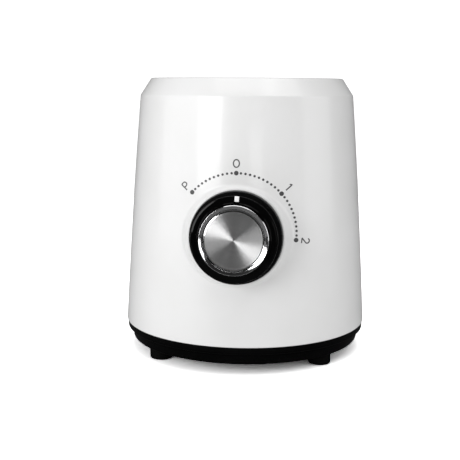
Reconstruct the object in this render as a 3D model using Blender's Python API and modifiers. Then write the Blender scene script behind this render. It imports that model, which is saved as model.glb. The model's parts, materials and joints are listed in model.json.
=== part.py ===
"""Motor base of a countertop blender, as an assembly of separate solids.

Metres, +Z up. The base stands on its feet at z = 0 and its control knob faces -Y. The origin is the
centre of the footprint box, knob included, so the body's own axis lies a little behind it.
"""
import math

import bmesh
import bpy

# ---- driving dimensions -------------------------------------------------------------------------
# Casing, turned about the body axis.
SEAM_RADIUS = 0.0850          # housing at its lower edge
SEAM_Z = 0.0196               # where housing and bottom cover meet
SHOULDER_RADIUS = 0.0739      # housing where the shoulder starts
SHOULDER_Z = 0.1775
SHOULDER_ROUNDING = 0.0030    # edge between the side and the shoulder
RIM_RADIUS = 0.0667           # top rim of the housing
RIM_Z = 0.1890
BELLY = 0.0006                # how far the side bows out of a straight taper
WALL = 0.0025                 # housing wall
LIP = 0.0008                  # rounding of the rim

# Bottom cover: a tray with an upper band and a narrower lower band.
COVER_INSET = 0.0004          # top of the cover inside the housing's lower edge
COVER_STEP_Z = 0.0149
COVER_STEP_INSET = 0.0008     # the cover's outer edges, in from the housing's lower edge
COVER_LOWER_INSET = 0.0034
COVER_FOOT_INSET = 0.0048
COVER_Z = 0.0072              # underside of the tray
COVER_WALL = 0.0026
COVER_FLOOR = 0.0028

# Feet and cover screws.
FOOT_RADIUS = 0.00775
FOOT_CIRCLE = 0.0712
FOOT_ANGLE = 49.0             # from the front and from the back, degrees
FOOT_STEM_RADIUS = 0.0030
SCREW_RADIUS = 0.0017
SCREW_HEAD_RADIUS = 0.0036
SCREW_HEAD = 0.0022
SCREW_ANGLE = 20.0            # from the left and right side, degrees
POST_RADIUS = 0.0050
POST_TOP_Z = 0.0450           # top of the screw posts inside the housing
POST_RIB = 0.0020             # web between a post and the housing's wall

# Jar seat: the well in the top that takes the jar's collar.
SEAT_WALL = 0.0025
SEAT_FLANGE = 0.0032          # width of the flange that rests in the housing
SEAT_LEDGE_Z = 0.1800
SEAT_FLOOR_Z = 0.1650         # top of the well's floor
SEAT_DRAFT = 0.0010
COLLAR_RADIUS = 0.0105        # upstand round the drive shaft
COLLAR_BORE = 0.0080
COLLAR_HEIGHT = 0.0040
LUG_COUNT = 4
LUG_SIZE = (0.0044, 0.0080, 0.0060)
LUG_Z = 0.1750

# Control knob, turned about an axis square to the housing's side.
KNOB_Z = 0.0903               # height of the axis at the housing's surface
BOSS_RISE = 0.0027            # flat boss behind the knob
BOSS_RADIUS = 0.0315
BOSS_ROOT_RADIUS = 0.0365
BOSS_DEPTH = 0.0095           # how far back the boss's flank runs
KNOB_BASE_RADIUS = 0.0297
KNOB_DRAFT = 0.0029           # how much the skirt narrows toward the front
KNOB_HEIGHT = 0.0158
KNOB_WALL = 0.0022
KNOB_GAP = 0.0005
KNOB_FACE_WIDTH = 0.0044      # flat black face, from the front edge in to the lip
KNOB_RECESS = 0.0015
KNOB_LIP_WIDTH = 0.0010       # from the lip in to the chrome ring
RING_WIDTH = 0.0023
RING_HEIGHT = 0.0056
DISC_HEIGHT = 0.0044
POINTER_WIDTH = 0.0027
POINTER_LENGTH = 0.0032
POINTER_DEPTH = 0.0014
POINTER_TURN = -3.4           # clockwise of straight up, degrees
HUB_RADIUS = 0.0065

# Rotary switch.
SPINDLE_RADIUS = 0.0030
SPINDLE_FLAT = 0.0009         # depth of the flat on the spindle
BUSHING_RADIUS = 0.0048
BUSHING_REACH = 0.0068        # in front of the housing's surface
SWITCH_SIZE = 0.0340
SWITCH_DEPTH = 0.0200
NUT_RADIUS = 0.0080
NUT_HEIGHT = 0.0025
TERMINAL_SIZE = (0.0048, 0.0008, 0.0080)
TERMINAL_PITCH = 0.0100

# Motor: heights of its stack and of its two brackets.
STACK_Z = (0.0680, 0.1040)
STACK_SIZE = (0.0760, 0.0660)
STACK_CORNER = 0.0100
WINDOW = (0.0275, 0.0270)     # half sizes of the coil window
POLE_HALF_WIDTH = 0.0130
BORE_RADIUS = 0.0213
COIL_RADIUS = 0.0040
COIL_CORNER = 0.0045
BRACKET_PLATE = 0.0030
UPPER_PLATE_Z = 0.1330
LOWER_PLATE_Z = 0.0420
UPPER_PLATE_RADIUS = 0.0410
LOWER_PLATE_RADIUS = 0.0390
LEG_X = 0.0330
LEG_SIZE = (0.0095, 0.0200)
CUP_RADIUS = 0.0120
CUP_DEPTH = 0.0060
BUSH_RADIUS = 0.0080
TIE_RADIUS = 0.0020
TIE_TOP_Z = 0.1250
DAMPER_RADIUS = 0.0065
DAMPER_HEIGHT = 0.0044
DAMPER_CIRCLE = 0.0340
DAMPER_ANGLES = (30.0, 150.0, 270.0)
MOTOR_SCREW_LENGTH = 0.0190

# Rotor.
SHAFT_RADIUS = 0.0040
SHAFT_Z = (0.0230, 0.1800)
CORE_RADIUS = 0.0204
CORE_TEETH = 12
SLOT_DEPTH = 0.0075
WINDING_RADIUS = 0.0165
WINDING_HEIGHT = 0.0082
COMMUTATOR_RADIUS = 0.0110
COMMUTATOR_Z = (0.0470, 0.0575)
COMMUTATOR_BARS = 12
FAN_RADIUS = 0.0340
FAN_Z = (0.0260, 0.0370)
FAN_BLADES = 9
COUPLING_RADIUS = 0.0132
COUPLING_ROOT_RADIUS = 0.0108
COUPLING_TEETH = 10
COUPLING_Z = (0.1730, 0.1840)

# Brush gear.
BRUSH_SIDE = 0.0060
BRUSH_LENGTH = 0.0130
BRUSH_Z = 0.0518
HOLDER_SIDE = 0.0100
HOLDER_INNER_Y = 0.0135
HOLDER_OUTER_Y = 0.0325
HOLDER_CAP = 0.0012
BRUSH_SPRING_RADIUS = 0.0021
BRUSH_SPRING_WIRE = 0.0004

# Jar interlock.
PIN_RADIUS = 0.0030
PIN_CIRCLE = 0.0480
PIN_RISE = 0.0060             # above the well's floor
PIN_TRAVEL = 0.0035
PIN_COLLAR = (0.0048, 0.0020)
STEM_RADIUS = 0.0018
SPRING_RADIUS = 0.0034
SPRING_WIRE = 0.0005
SPRING_SEAT_Z = 0.1490
HANGER_SIZE = (0.0220, 0.0120, 0.0020)
HANGER_LEG = 0.0025
MICROSWITCH_SIZE = (0.0200, 0.0064, 0.0100)
BUTTON_SIZE = (0.0030, 0.0030)
BUTTON_RISE = 0.0040

# Bottom cover details, gland and electrics.
VENT_COUNT = 16
VENT_SIZE = (0.0220, 0.0035)
VENT_CIRCLE = 0.0400
GLAND_Z = 0.0136
GLAND_RADIUS = 0.0046
GLAND_BORE = 0.0034
GLAND_FLANGE = 0.0056
GLAND_PROUD = 0.0012          # outer face of the gland beyond the housing's lower edge
GLAND_LENGTH = 0.0100
CAPACITOR_SIZE = (0.0260, 0.0120, 0.0150)
CAPACITOR_PLACE = (0.0480, -0.0320)
LEAD_RADIUS = 0.0013

# Fits.
TOUCH = 0.0003                # between pieces that rest on each other
RUNNING = 0.00015             # round the shaft in its bushes
MERGE = 0.00001
STEPS = {"casing": 48, "seat": 32, "knob": 32, "small": 12, "screw": 8}


def housing_radius(z):
    """Outer radius of the housing's side at height z."""
    share = (z - SEAM_Z) / (SHOULDER_Z - SEAM_Z)
    taper = SEAM_RADIUS + (SHOULDER_RADIUS - SEAM_RADIUS) * share
    return taper + BELLY * 4.0 * share * (1.0 - share)


def knob_tilt():
    """How far the knob's axis points up: square to the housing's side."""
    step = 0.001
    slope = (housing_radius(KNOB_Z + step) - housing_radius(KNOB_Z - step)) / (2.0 * step)
    return math.atan(-slope)


GLAND_REACH = SEAM_RADIUS + GLAND_PROUD
COVER_STEP_RADIUS = SEAM_RADIUS - COVER_STEP_INSET
COVER_LOWER_RADIUS = SEAM_RADIUS - COVER_LOWER_INSET
COVER_FOOT_RADIUS = SEAM_RADIUS - COVER_FOOT_INSET
KNOB_FRONT_RADIUS = KNOB_BASE_RADIUS - KNOB_DRAFT
KNOB_LIP_RADIUS = KNOB_FRONT_RADIUS - KNOB_FACE_WIDTH
RING_RADIUS = KNOB_LIP_RADIUS - KNOB_LIP_WIDTH
TILT = knob_tilt()
SWITCH_FRONT = BOSS_RISE - WALL - TOUCH
KNOB_FOOT = BOSS_RISE + KNOB_GAP
KNOB_FRONT = KNOB_FOOT + KNOB_HEIGHT
RING_FOOT = KNOB_FRONT - KNOB_RECESS + TOUCH
RING_FRONT = RING_FOOT + RING_HEIGHT
FRONT_REACH = housing_radius(KNOB_Z) + RING_FRONT * math.cos(TILT) + RING_RADIUS * math.sin(TILT)
AXIS_Y = (FRONT_REACH - GLAND_REACH) / 2.0
SCREW_CIRCLE = COVER_FOOT_RADIUS - LIP - POST_RADIUS
SEAT_OUTER = RIM_RADIUS - WALL - TOUCH
SEAT_INNER = SEAT_OUTER - SEAT_FLANGE - SEAT_WALL
FLOOR_BOTTOM = SEAT_FLOOR_Z - SEAT_WALL
DAMPER_TOP = UPPER_PLATE_Z + BRACKET_PLATE + TOUCH + DAMPER_HEIGHT
COIL_Y = WINDOW[1] - TOUCH - COIL_RADIUS - TOUCH
COIL_X = POLE_HALF_WIDTH + TOUCH + COIL_RADIUS + TOUCH


# ---- scene and helpers --------------------------------------------------------------------------
def clear_scene():
    for item in list(bpy.data.objects):
        bpy.data.objects.remove(item, do_unlink=True)


def new_collection(name):
    collection = bpy.data.collections.new(name)
    bpy.context.scene.collection.children.link(collection)
    return collection


def material(name, colour, roughness, metallic=0.0):
    made = bpy.data.materials.new(name)
    made.use_nodes = True
    shader = made.node_tree.nodes["Principled BSDF"]
    shader.inputs["Base Color"].default_value = (*colour, 1.0)
    shader.inputs["Roughness"].default_value = roughness
    shader.inputs["Metallic"].default_value = metallic
    made.diffuse_color = (*colour, 1.0)
    return made


def empty(name, parent=None, location=(0.0, 0.0, 0.0), rotation=(0.0, 0.0, 0.0)):
    made = bpy.data.objects.new(name, None)
    PARTS.objects.link(made)
    made.parent = parent
    made.location = location
    made.rotation_euler = rotation
    return made


def place(name, data, look, parent, location=(0.0, 0.0, 0.0), rotation=(0.0, 0.0, 0.0)):
    """Link an object; one without a look is a cutter or a shape that is joined to another."""
    made = bpy.data.objects.new(name, data)
    if look is None:
        CUTTERS.objects.link(made)
        made.hide_render = True
        made.display_type = 'WIRE'
    else:
        PARTS.objects.link(made)
        data.materials.append(look)
    made.parent = parent
    made.location = location
    made.rotation_euler = rotation
    return made


def turned(name, profile, look, parent, steps, location=(0.0, 0.0, 0.0), rotation=(0.0, 0.0, 0.0)):
    """Turn (radius, height) points about Z; they run down the outer side, closed if off the axis."""
    points = [(radius, 0.0, height) for radius, height in profile]
    edges = [(i, i + 1) for i in range(len(points) - 1)]
    if profile[0][0] > 0.0:
        edges.append((len(points) - 1, 0))
    mesh = bpy.data.meshes.new(name)
    mesh.from_pydata(points, edges, [])
    made = place(name, mesh, look, parent, location, rotation)
    screw = made.modifiers.new("Turn", 'SCREW')
    screw.steps = STEPS[steps]
    screw.render_steps = STEPS[steps]
    screw.use_merge_vertices = True
    screw.merge_threshold = MERGE
    return made


def cylinder(name, radius, low, high, look, parent, steps, location=(0.0, 0.0, 0.0)):
    profile = [(0.0, high), (radius, high), (radius, low), (0.0, low)]
    return turned(name, profile, look, parent, steps, location)


def ring(name, inner, outer, low, high, look, parent, steps, location=(0.0, 0.0, 0.0)):
    profile = [(outer, high), (outer, low), (inner, low), (inner, high)]
    return turned(name, profile, look, parent, steps, location)


def boxes(name, blocks, look, parent, location=(0.0, 0.0, 0.0), rotation=(0.0, 0.0, 0.0)):
    """One object of boxes, each given by its low and high corner."""
    work = bmesh.new()
    for low, high in blocks:
        made = bmesh.ops.create_cube(work, size=1.0)
        size = [b - a for a, b in zip(low, high)]
        centre = [(a + b) / 2.0 for a, b in zip(low, high)]
        bmesh.ops.scale(work, vec=size, verts=made["verts"])
        bmesh.ops.translate(work, vec=centre, verts=made["verts"])
    mesh = bpy.data.meshes.new(name)
    work.to_mesh(mesh)
    work.free()
    return place(name, mesh, look, parent, location, rotation)


def plate(name, outlines, low, high, look, parent, location=(0.0, 0.0, 0.0)):
    """A flat plate between two heights; the first outline is its edge, the others are holes."""
    curve = bpy.data.curves.new(name, 'CURVE')
    curve.dimensions = '2D'
    curve.fill_mode = 'BOTH'
    curve.extrude = (high - low) / 2.0
    curve.resolution_u = 1
    curve.render_resolution_u = 0
    for outline in outlines:
        spline = curve.splines.new('POLY')
        spline.points.add(len(outline) - 1)
        for point, (x, y) in zip(spline.points, outline):
            point.co = (x, y, 0.0, 1.0)
        spline.use_cyclic_u = True
    x, y, z = location
    return place(name, curve, look, parent, (x, y, z + (low + high) / 2.0))


def wire(name, points, radius, look, parent, location=(0.0, 0.0, 0.0), rotation=(0.0, 0.0, 0.0), cyclic=False,
         sides=2):
    curve = bpy.data.curves.new(name, 'CURVE')
    curve.dimensions = '3D'
    curve.bevel_depth = radius
    curve.bevel_resolution = sides
    curve.use_fill_caps = True
    curve.resolution_u = 1
    curve.render_resolution_u = 0
    spline = curve.splines.new('POLY')
    spline.points.add(len(points) - 1)
    for point, place_at in zip(spline.points, points):
        point.co = (*place_at, 1.0)
    spline.use_cyclic_u = cyclic
    return place(name, curve, look, parent, location, rotation)


def as_mesh(made):
    """Turn a curve object into a welded mesh object, so that it can be cut, joined or join another."""
    bpy.context.view_layer.update()
    evaluated = made.evaluated_get(bpy.context.evaluated_depsgraph_get())
    mesh = bpy.data.meshes.new_from_object(evaluated)
    work = bmesh.new()
    work.from_mesh(mesh)
    bmesh.ops.remove_doubles(work, verts=work.verts, dist=MERGE)
    bmesh.ops.recalc_face_normals(work, faces=work.faces)
    work.to_mesh(mesh)
    work.free()
    name, parent, collection = made.name, made.parent, made.users_collection[0]
    world, hidden, shown = made.matrix_world.copy(), made.hide_render, made.display_type
    bpy.data.objects.remove(made, do_unlink=True)
    solid = bpy.data.objects.new(name, mesh)
    collection.objects.link(solid)
    solid.parent = parent
    solid.matrix_world = world
    solid.hide_render = hidden
    solid.display_type = shown
    return solid


def combine(target, operation, *tools):
    for tool in tools:
        boolean = target.modifiers.new(tool.name, 'BOOLEAN')
        boolean.operation = operation
        boolean.solver = 'EXACT'
        boolean.object = tool
    return target


def polar(radius, degrees):
    return radius * math.cos(math.radians(degrees)), radius * math.sin(math.radians(degrees))


def arc(radius, start, end, count):
    """Points along an arc about the origin, both ends included."""
    return [polar(radius, start + (end - start) * i / (count - 1)) for i in range(count)]


def rounded_rectangle(half_x, half_y, corner, count=4):
    points = []
    for sign_x, sign_y, start in ((1, 1, 0), (-1, 1, 90), (-1, -1, 180), (1, -1, 270)):
        centre_x = sign_x * (half_x - corner)
        centre_y = sign_y * (half_y - corner)
        points += [(centre_x + x, centre_y + y) for x, y in arc(corner, start, start + 90, count)]
    return points


def toothed(outer, inner, teeth, fill, taper):
    """Outline of a toothed wheel: fill is the tooth's share of a pitch, taper narrows its tip."""
    points = []
    pitch = 360.0 / teeth
    for tooth in range(teeth):
        middle = tooth * pitch
        root = pitch * fill / 2.0
        tip = root * taper
        points += [polar(inner, middle - root), polar(outer, middle - tip)]
        points += [polar(outer, middle + tip), polar(inner, middle + root)]
    return points


def helix(radius, low, high, turns, per_turn):
    count = int(turns * per_turn)
    points = []
    for i in range(count + 1):
        angle = 360.0 * i / per_turn
        points.append((*polar(radius, angle), low + (high - low) * i / count))
    return points


def screw_profile(radius, head_radius, head, length):
    """A screw pointing up from its head's underside at height 0."""
    return [(0.0, length), (radius * 0.7, length), (radius, length - radius), (radius, 0.0),
            (head_radius, 0.0), (head_radius, -head * 0.6), (head_radius * 0.6, -head), (0.0, -head)]


# ---- casing -------------------------------------------------------------------------------------
def rounded_corner(corner, before, after, radius, count=4):
    """Points that round a corner between two straight runs, given a point on each run."""
    along = [(p[0] - corner[0], p[1] - corner[1]) for p in (before, after)]
    (ax, ay), (bx, by) = [(x / math.hypot(x, y), y / math.hypot(x, y)) for x, y in along]
    half = math.acos(ax * bx + ay * by) / 2.0
    reach = radius / math.sin(half)
    middle = math.atan2(ay + by, ax + bx)
    centre = (corner[0] + reach * math.cos(middle), corner[1] + reach * math.sin(middle))
    spread = math.pi / 2.0 - half
    if ax * by - ay * bx > 0.0:
        spread = -spread
    turns = [middle + math.pi - spread + 2.0 * spread * i / (count - 1) for i in range(count)]
    return [(centre[0] + radius * math.cos(turn), centre[1] + radius * math.sin(turn)) for turn in turns]


def housing_profile():
    rim = (RIM_RADIUS, RIM_Z - LIP)
    edge = rounded_corner((SHOULDER_RADIUS, SHOULDER_Z), rim, (SEAM_RADIUS, SEAM_Z), SHOULDER_ROUNDING)
    shoulder = [rim] + edge
    lowest = edge[-1][1]
    sides = [lowest + (SEAM_Z - lowest) * i / 4.0 for i in range(1, 5)]
    outer = [(RIM_RADIUS - LIP, RIM_Z)] + shoulder + [(housing_radius(z), z) for z in sides]
    under_deck = SHOULDER_Z - WALL
    heights = (SEAM_Z, KNOB_Z, under_deck)
    inner = [(housing_radius(z) - WALL, z) for z in heights]
    ledge = SEAT_OUTER - SEAT_FLANGE + TOUCH
    inner += [(RIM_RADIUS, SHOULDER_Z), (ledge, SHOULDER_Z), (ledge, SEAT_LEDGE_Z)]
    inner += [(SEAT_OUTER + TOUCH, SEAT_LEDGE_Z), (SEAT_OUTER + TOUCH, RIM_Z)]
    return outer + inner


def screw_places():
    angles = (SCREW_ANGLE, 180.0 - SCREW_ANGLE, 180.0 + SCREW_ANGLE, -SCREW_ANGLE)
    return [polar(SCREW_CIRCLE, angle) for angle in angles]


def build_housing():
    housing = turned("housing", housing_profile(), WHITE, BODY, "casing")
    flank = [(0.0, BOSS_RISE), (BOSS_RADIUS, BOSS_RISE), (BOSS_ROOT_RADIUS, -BOSS_DEPTH), (0.0, -BOSS_DEPTH)]
    combine(housing, 'UNION', turned("knob_boss", flank, None, KNOB, "knob"))
    pocket_root = BOSS_ROOT_RADIUS - WALL
    pocket = [(0.0, BOSS_RISE - WALL), (BOSS_RADIUS - WALL, BOSS_RISE - WALL), (pocket_root, -BOSS_DEPTH),
              (pocket_root, -BOSS_DEPTH * 2.0), (0.0, -BOSS_DEPTH * 2.0)]
    combine(housing, 'DIFFERENCE', turned("knob_pocket", pocket, None, KNOB, "knob"))
    for i, (x, y) in enumerate(screw_places()):
        post = cylinder(f"housing_post_{i}", POST_RADIUS, SEAM_Z + LIP, POST_TOP_Z, None, BODY, "small",
                        (x, y, 0.0))
        rib_end = housing_radius(POST_TOP_Z) - WALL / 2.0
        rib = boxes(f"housing_rib_{i}", [((SCREW_CIRCLE, -POST_RIB / 2.0, SEAM_Z + WALL * 2.0),
                                          (rib_end, POST_RIB / 2.0, POST_TOP_Z - LIP))], None, BODY,
                    rotation=(0.0, 0.0, math.atan2(y, x)))
        combine(housing, 'UNION', post, rib)
    for i, (x, y) in enumerate(screw_places()):
        pilot = cylinder(f"housing_pilot_{i}", SCREW_RADIUS + TOUCH, SEAM_Z - WALL, POST_TOP_Z - WALL, None,
                         BODY, "screw", (x, y, 0.0))
        combine(housing, 'DIFFERENCE', pilot)
    hole = cylinder("knob_hole", BUSHING_RADIUS + TOUCH, -BOSS_DEPTH, BOSS_DEPTH, None, KNOB, "small")
    return combine(housing, 'DIFFERENCE', hole)


def build_bottom_cover():
    top = SEAM_Z - TOUCH
    top_radius = SEAM_RADIUS - COVER_INSET
    floor = COVER_Z + COVER_FLOOR
    profile = [(0.0, floor), (COVER_FOOT_RADIUS - COVER_WALL, floor),
               (COVER_LOWER_RADIUS - COVER_WALL, COVER_STEP_Z), (top_radius - COVER_WALL, COVER_STEP_Z + LIP),
               (top_radius - COVER_WALL, top), (top_radius, top), (COVER_STEP_RADIUS, COVER_STEP_Z),
               (COVER_LOWER_RADIUS, COVER_STEP_Z), (COVER_FOOT_RADIUS, COVER_Z + LIP),
               (COVER_FOOT_RADIUS - LIP, COVER_Z), (0.0, COVER_Z)]
    cover = turned("bottom_cover", profile, BLACK, BODY, "casing")
    head_top = COVER_Z + SCREW_HEAD + COVER_FLOOR
    for i, (x, y) in enumerate(screw_places()):
        post = cylinder(f"cover_post_{i}", POST_RADIUS, COVER_Z + LIP, top - TOUCH, None, BODY, "small",
                        (x, y, 0.0))
        combine(cover, 'UNION', post)
    for i, (x, y) in enumerate(screw_places()):
        steps = [(0.0, SEAM_Z + LIP), (SCREW_RADIUS + TOUCH, SEAM_Z + LIP), (SCREW_RADIUS + TOUCH, head_top),
                 (SCREW_HEAD_RADIUS + TOUCH, head_top), (SCREW_HEAD_RADIUS + TOUCH, 0.0), (0.0, 0.0)]
        hole = turned(f"cover_hole_{i}", steps, None, BODY, "screw", (x, y, 0.0))
        combine(cover, 'DIFFERENCE', hole)
        screw = screw_profile(SCREW_RADIUS, SCREW_HEAD_RADIUS, SCREW_HEAD, POST_TOP_Z - WALL * 3.0 - head_top)
        turned(f"cover_screw_{i + 1}", screw, STEEL, BODY, "screw", (x, y, head_top - TOUCH))
    vents = []
    for i in range(VENT_COUNT):
        angle = 360.0 * (i + 0.5) / VENT_COUNT
        vent = boxes(f"vent_{i}", [((-VENT_SIZE[0] / 2.0, -VENT_SIZE[1] / 2.0, -COVER_FLOOR),
                                    (VENT_SIZE[0] / 2.0, VENT_SIZE[1] / 2.0, COVER_FLOOR))], None, BODY,
                     (*polar(VENT_CIRCLE, angle), COVER_Z + COVER_FLOOR / 2.0), (0.0, 0.0, math.radians(angle)))
        vents.append(vent)
    combine(cover, 'DIFFERENCE', *vents)
    gland_hole = turned("gland_hole", [(0.0, 0.03), (GLAND_RADIUS + TOUCH, 0.03), (GLAND_RADIUS + TOUCH, -0.03),
                                       (0.0, -0.03)], None, BODY, "small", (0.0, COVER_STEP_RADIUS, GLAND_Z),
                        (math.radians(-90.0), 0.0, 0.0))
    return combine(cover, 'DIFFERENCE', gland_hole)


def build_feet(cover):
    stem_hole = FOOT_STEM_RADIUS + TOUCH
    floor = COVER_Z + COVER_FLOOR
    head = floor + TOUCH
    profile = [(0.0, head + 0.0018), (FOOT_STEM_RADIUS, head + 0.0018), (FOOT_STEM_RADIUS + 0.0014, head),
               (FOOT_STEM_RADIUS, head), (FOOT_STEM_RADIUS, COVER_Z - TOUCH), (FOOT_RADIUS, COVER_Z - TOUCH),
               (FOOT_RADIUS - 0.0003, 0.0008), (FOOT_RADIUS - 0.0012, 0.0), (0.0, 0.0)]
    places = {"front_left": -90.0 - FOOT_ANGLE, "front_right": -90.0 + FOOT_ANGLE,
              "rear_right": 90.0 - FOOT_ANGLE, "rear_left": 90.0 + FOOT_ANGLE}
    for corner, angle in places.items():
        x, y = polar(FOOT_CIRCLE, angle)
        hole = cylinder(f"foot_hole_{corner}", stem_hole, COVER_Z - LIP, floor + LIP, None, BODY, "screw",
                        (x, y, 0.0))
        combine(cover, 'DIFFERENCE', hole)
        turned(f"foot_{corner}", profile, RUBBER, BODY, "small", (x, y, 0.0))


def build_gland():
    """A flanged bush through the cover's wall; its bore takes the mains cord."""
    wall_out = SEAM_RADIUS - COVER_INSET + TOUCH
    outer = GLAND_REACH
    inner = outer - GLAND_LENGTH
    profile = [(GLAND_FLANGE - 0.0006, outer), (GLAND_FLANGE, outer - 0.0006), (GLAND_FLANGE, wall_out),
               (GLAND_RADIUS, wall_out), (GLAND_RADIUS, inner), (GLAND_BORE, inner), (GLAND_BORE, outer)]
    turned("cord_gland", profile, RUBBER, BODY, "small", (0.0, 0.0, GLAND_Z), (math.radians(-90.0), 0.0, 0.0))


def build_jar_seat():
    outer_wall = SEAT_OUTER - SEAT_FLANGE
    inner_top = SEAT_INNER
    inner_floor = SEAT_INNER - SEAT_DRAFT
    top = RIM_Z - LIP
    profile = [(SEAT_OUTER - LIP, top), (SEAT_OUTER, top - LIP), (SEAT_OUTER, SEAT_LEDGE_Z + TOUCH),
               (outer_wall, SEAT_LEDGE_Z + TOUCH), (outer_wall - SEAT_DRAFT, FLOOR_BOTTOM),
               (COLLAR_BORE, FLOOR_BOTTOM), (COLLAR_BORE, SEAT_FLOOR_Z + COLLAR_HEIGHT),
               (COLLAR_RADIUS, SEAT_FLOOR_Z + COLLAR_HEIGHT), (COLLAR_RADIUS, SEAT_FLOOR_Z),
               (inner_floor, SEAT_FLOOR_Z), (inner_top, top - LIP * 2.0), (inner_top + LIP, top)]
    seat = turned("jar_seat", profile, GREY, BODY, "seat")
    for i in range(LUG_COUNT):
        angle = 360.0 * (i + 0.5) / LUG_COUNT
        half = [size / 2.0 for size in LUG_SIZE]
        lug = boxes(f"seat_lug_{i}", [((-half[0], -half[1], -half[2]), tuple(half))], None, BODY,
                    (*polar(SEAT_INNER, angle), LUG_Z), (0.0, 0.0, math.radians(angle)))
        combine(seat, 'UNION', lug)
    for i, angle in enumerate(DAMPER_ANGLES):
        place_at = (*polar(DAMPER_CIRCLE, angle), 0.0)
        low = DAMPER_TOP + TOUCH
        post = cylinder(f"seat_post_{i}", POST_RADIUS, low, SEAT_FLOOR_Z - LIP, None, BODY, "small", place_at)
        combine(seat, 'UNION', post)
        pilot = cylinder(f"seat_pilot_{i}", SCREW_RADIUS + TOUCH, low - WALL, FLOOR_BOTTOM - WALL, None, BODY,
                         "screw", place_at)
        combine(seat, 'DIFFERENCE', pilot)
    hole = cylinder("pin_hole", PIN_RADIUS + TOUCH, FLOOR_BOTTOM - WALL, SEAT_FLOOR_Z + WALL, None, BODY, "small",
                    (0.0, PIN_CIRCLE, 0.0))
    combine(seat, 'DIFFERENCE', hole)
    seal = [(COLLAR_BORE - TOUCH, SEAT_FLOOR_Z + COLLAR_HEIGHT * 0.75), (COLLAR_BORE - TOUCH, FLOOR_BOTTOM + TOUCH),
            (SHAFT_RADIUS + 0.0012, FLOOR_BOTTOM + TOUCH), (SHAFT_RADIUS + TOUCH, SEAT_FLOOR_Z),
            (SHAFT_RADIUS + TOUCH, SEAT_FLOOR_Z + LIP), (SHAFT_RADIUS + 0.0020, SEAT_FLOOR_Z + COLLAR_HEIGHT * 0.75)]
    turned("shaft_seal", seal, RUBBER, BODY, "small")


# ---- control ------------------------------------------------------------------------------------
def build_knob():
    lip = KNOB_FRONT + TOUCH
    floor = KNOB_FRONT - KNOB_RECESS
    under = floor - KNOB_WALL * 0.7
    hub_foot = BUSHING_REACH + LIP
    bore = SPINDLE_RADIUS + RUNNING
    profile = [(0.0, floor), (RING_RADIUS + TOUCH, floor), (RING_RADIUS + TOUCH, lip), (KNOB_LIP_RADIUS, lip),
               (KNOB_LIP_RADIUS + TOUCH, KNOB_FRONT), (KNOB_FRONT_RADIUS - LIP, KNOB_FRONT),
               (KNOB_FRONT_RADIUS, KNOB_FRONT - LIP), (KNOB_BASE_RADIUS, KNOB_FOOT),
               (KNOB_BASE_RADIUS - KNOB_WALL, KNOB_FOOT), (KNOB_FRONT_RADIUS - KNOB_WALL, under),
               (HUB_RADIUS, under), (HUB_RADIUS, hub_foot), (bore, hub_foot), (bore, under), (0.0, under)]
    knob = turned("knob", profile, BLACK_GLOSS, KNOB_CONTROL, "knob")
    slot_floor = KNOB_FRONT - POINTER_DEPTH
    half = POINTER_WIDTH / 2.0 + TOUCH
    turn = (0.0, 0.0, math.radians(POINTER_TURN))
    slot = boxes("pointer_slot", [((-half, RING_RADIUS + 0.0006, slot_floor),
                                   (half, KNOB_BASE_RADIUS, KNOB_FRONT + LIP))], None, KNOB_CONTROL,
                 rotation=turn)
    combine(knob, 'DIFFERENCE', slot)
    outer = KNOB_FRONT_RADIUS - LIP
    boxes("knob_pointer", [((-POINTER_WIDTH / 2.0, outer - POINTER_LENGTH, slot_floor + TOUCH),
                            (POINTER_WIDTH / 2.0, outer, KNOB_FRONT))], WHITE, KNOB_CONTROL,
          rotation=turn)
    inner = RING_RADIUS - RING_WIDTH
    turned("knob_ring", [(RING_RADIUS - LIP, RING_FRONT), (RING_RADIUS, RING_FRONT - LIP), (RING_RADIUS, RING_FOOT),
                         (inner, RING_FOOT), (inner, RING_FRONT - LIP), (inner + LIP, RING_FRONT)],
           CHROME, KNOB_CONTROL, "knob")
    disc = inner - TOUCH
    turned("knob_disc", [(0.0, RING_FOOT + DISC_HEIGHT), (disc - TOUCH, RING_FOOT + DISC_HEIGHT),
                         (disc, RING_FOOT + DISC_HEIGHT - TOUCH), (disc, RING_FOOT), (0.0, RING_FOOT)],
           ALUMINIUM, KNOB_CONTROL, "knob")


def build_spindle():
    """The switch's turning spindle, with a flat that a leaf clip in the knob's hub bears on."""
    inner_end = SWITCH_FRONT - SWITCH_DEPTH / 2.0
    outer_end = KNOB_FRONT - KNOB_RECESS - KNOB_WALL * 0.7 - TOUCH
    spindle = cylinder("switch_spindle", SPINDLE_RADIUS, inner_end, outer_end, STEEL, KNOB_CONTROL, "small")
    flat_low = BUSHING_REACH + LIP
    flat = boxes("spindle_flat", [((-SPINDLE_RADIUS, SPINDLE_RADIUS - SPINDLE_FLAT, flat_low),
                                   (SPINDLE_RADIUS, SPINDLE_RADIUS * 2.0, outer_end + LIP))], None, KNOB_CONTROL)
    combine(spindle, 'DIFFERENCE', flat)
    half = SPINDLE_RADIUS * 0.4
    boxes("knob_clip", [((-half, SPINDLE_RADIUS - SPINDLE_FLAT + TOUCH, flat_low + TOUCH),
                         (half, SPINDLE_RADIUS - TOUCH, outer_end - TOUCH))], STEEL, KNOB_CONTROL)


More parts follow.
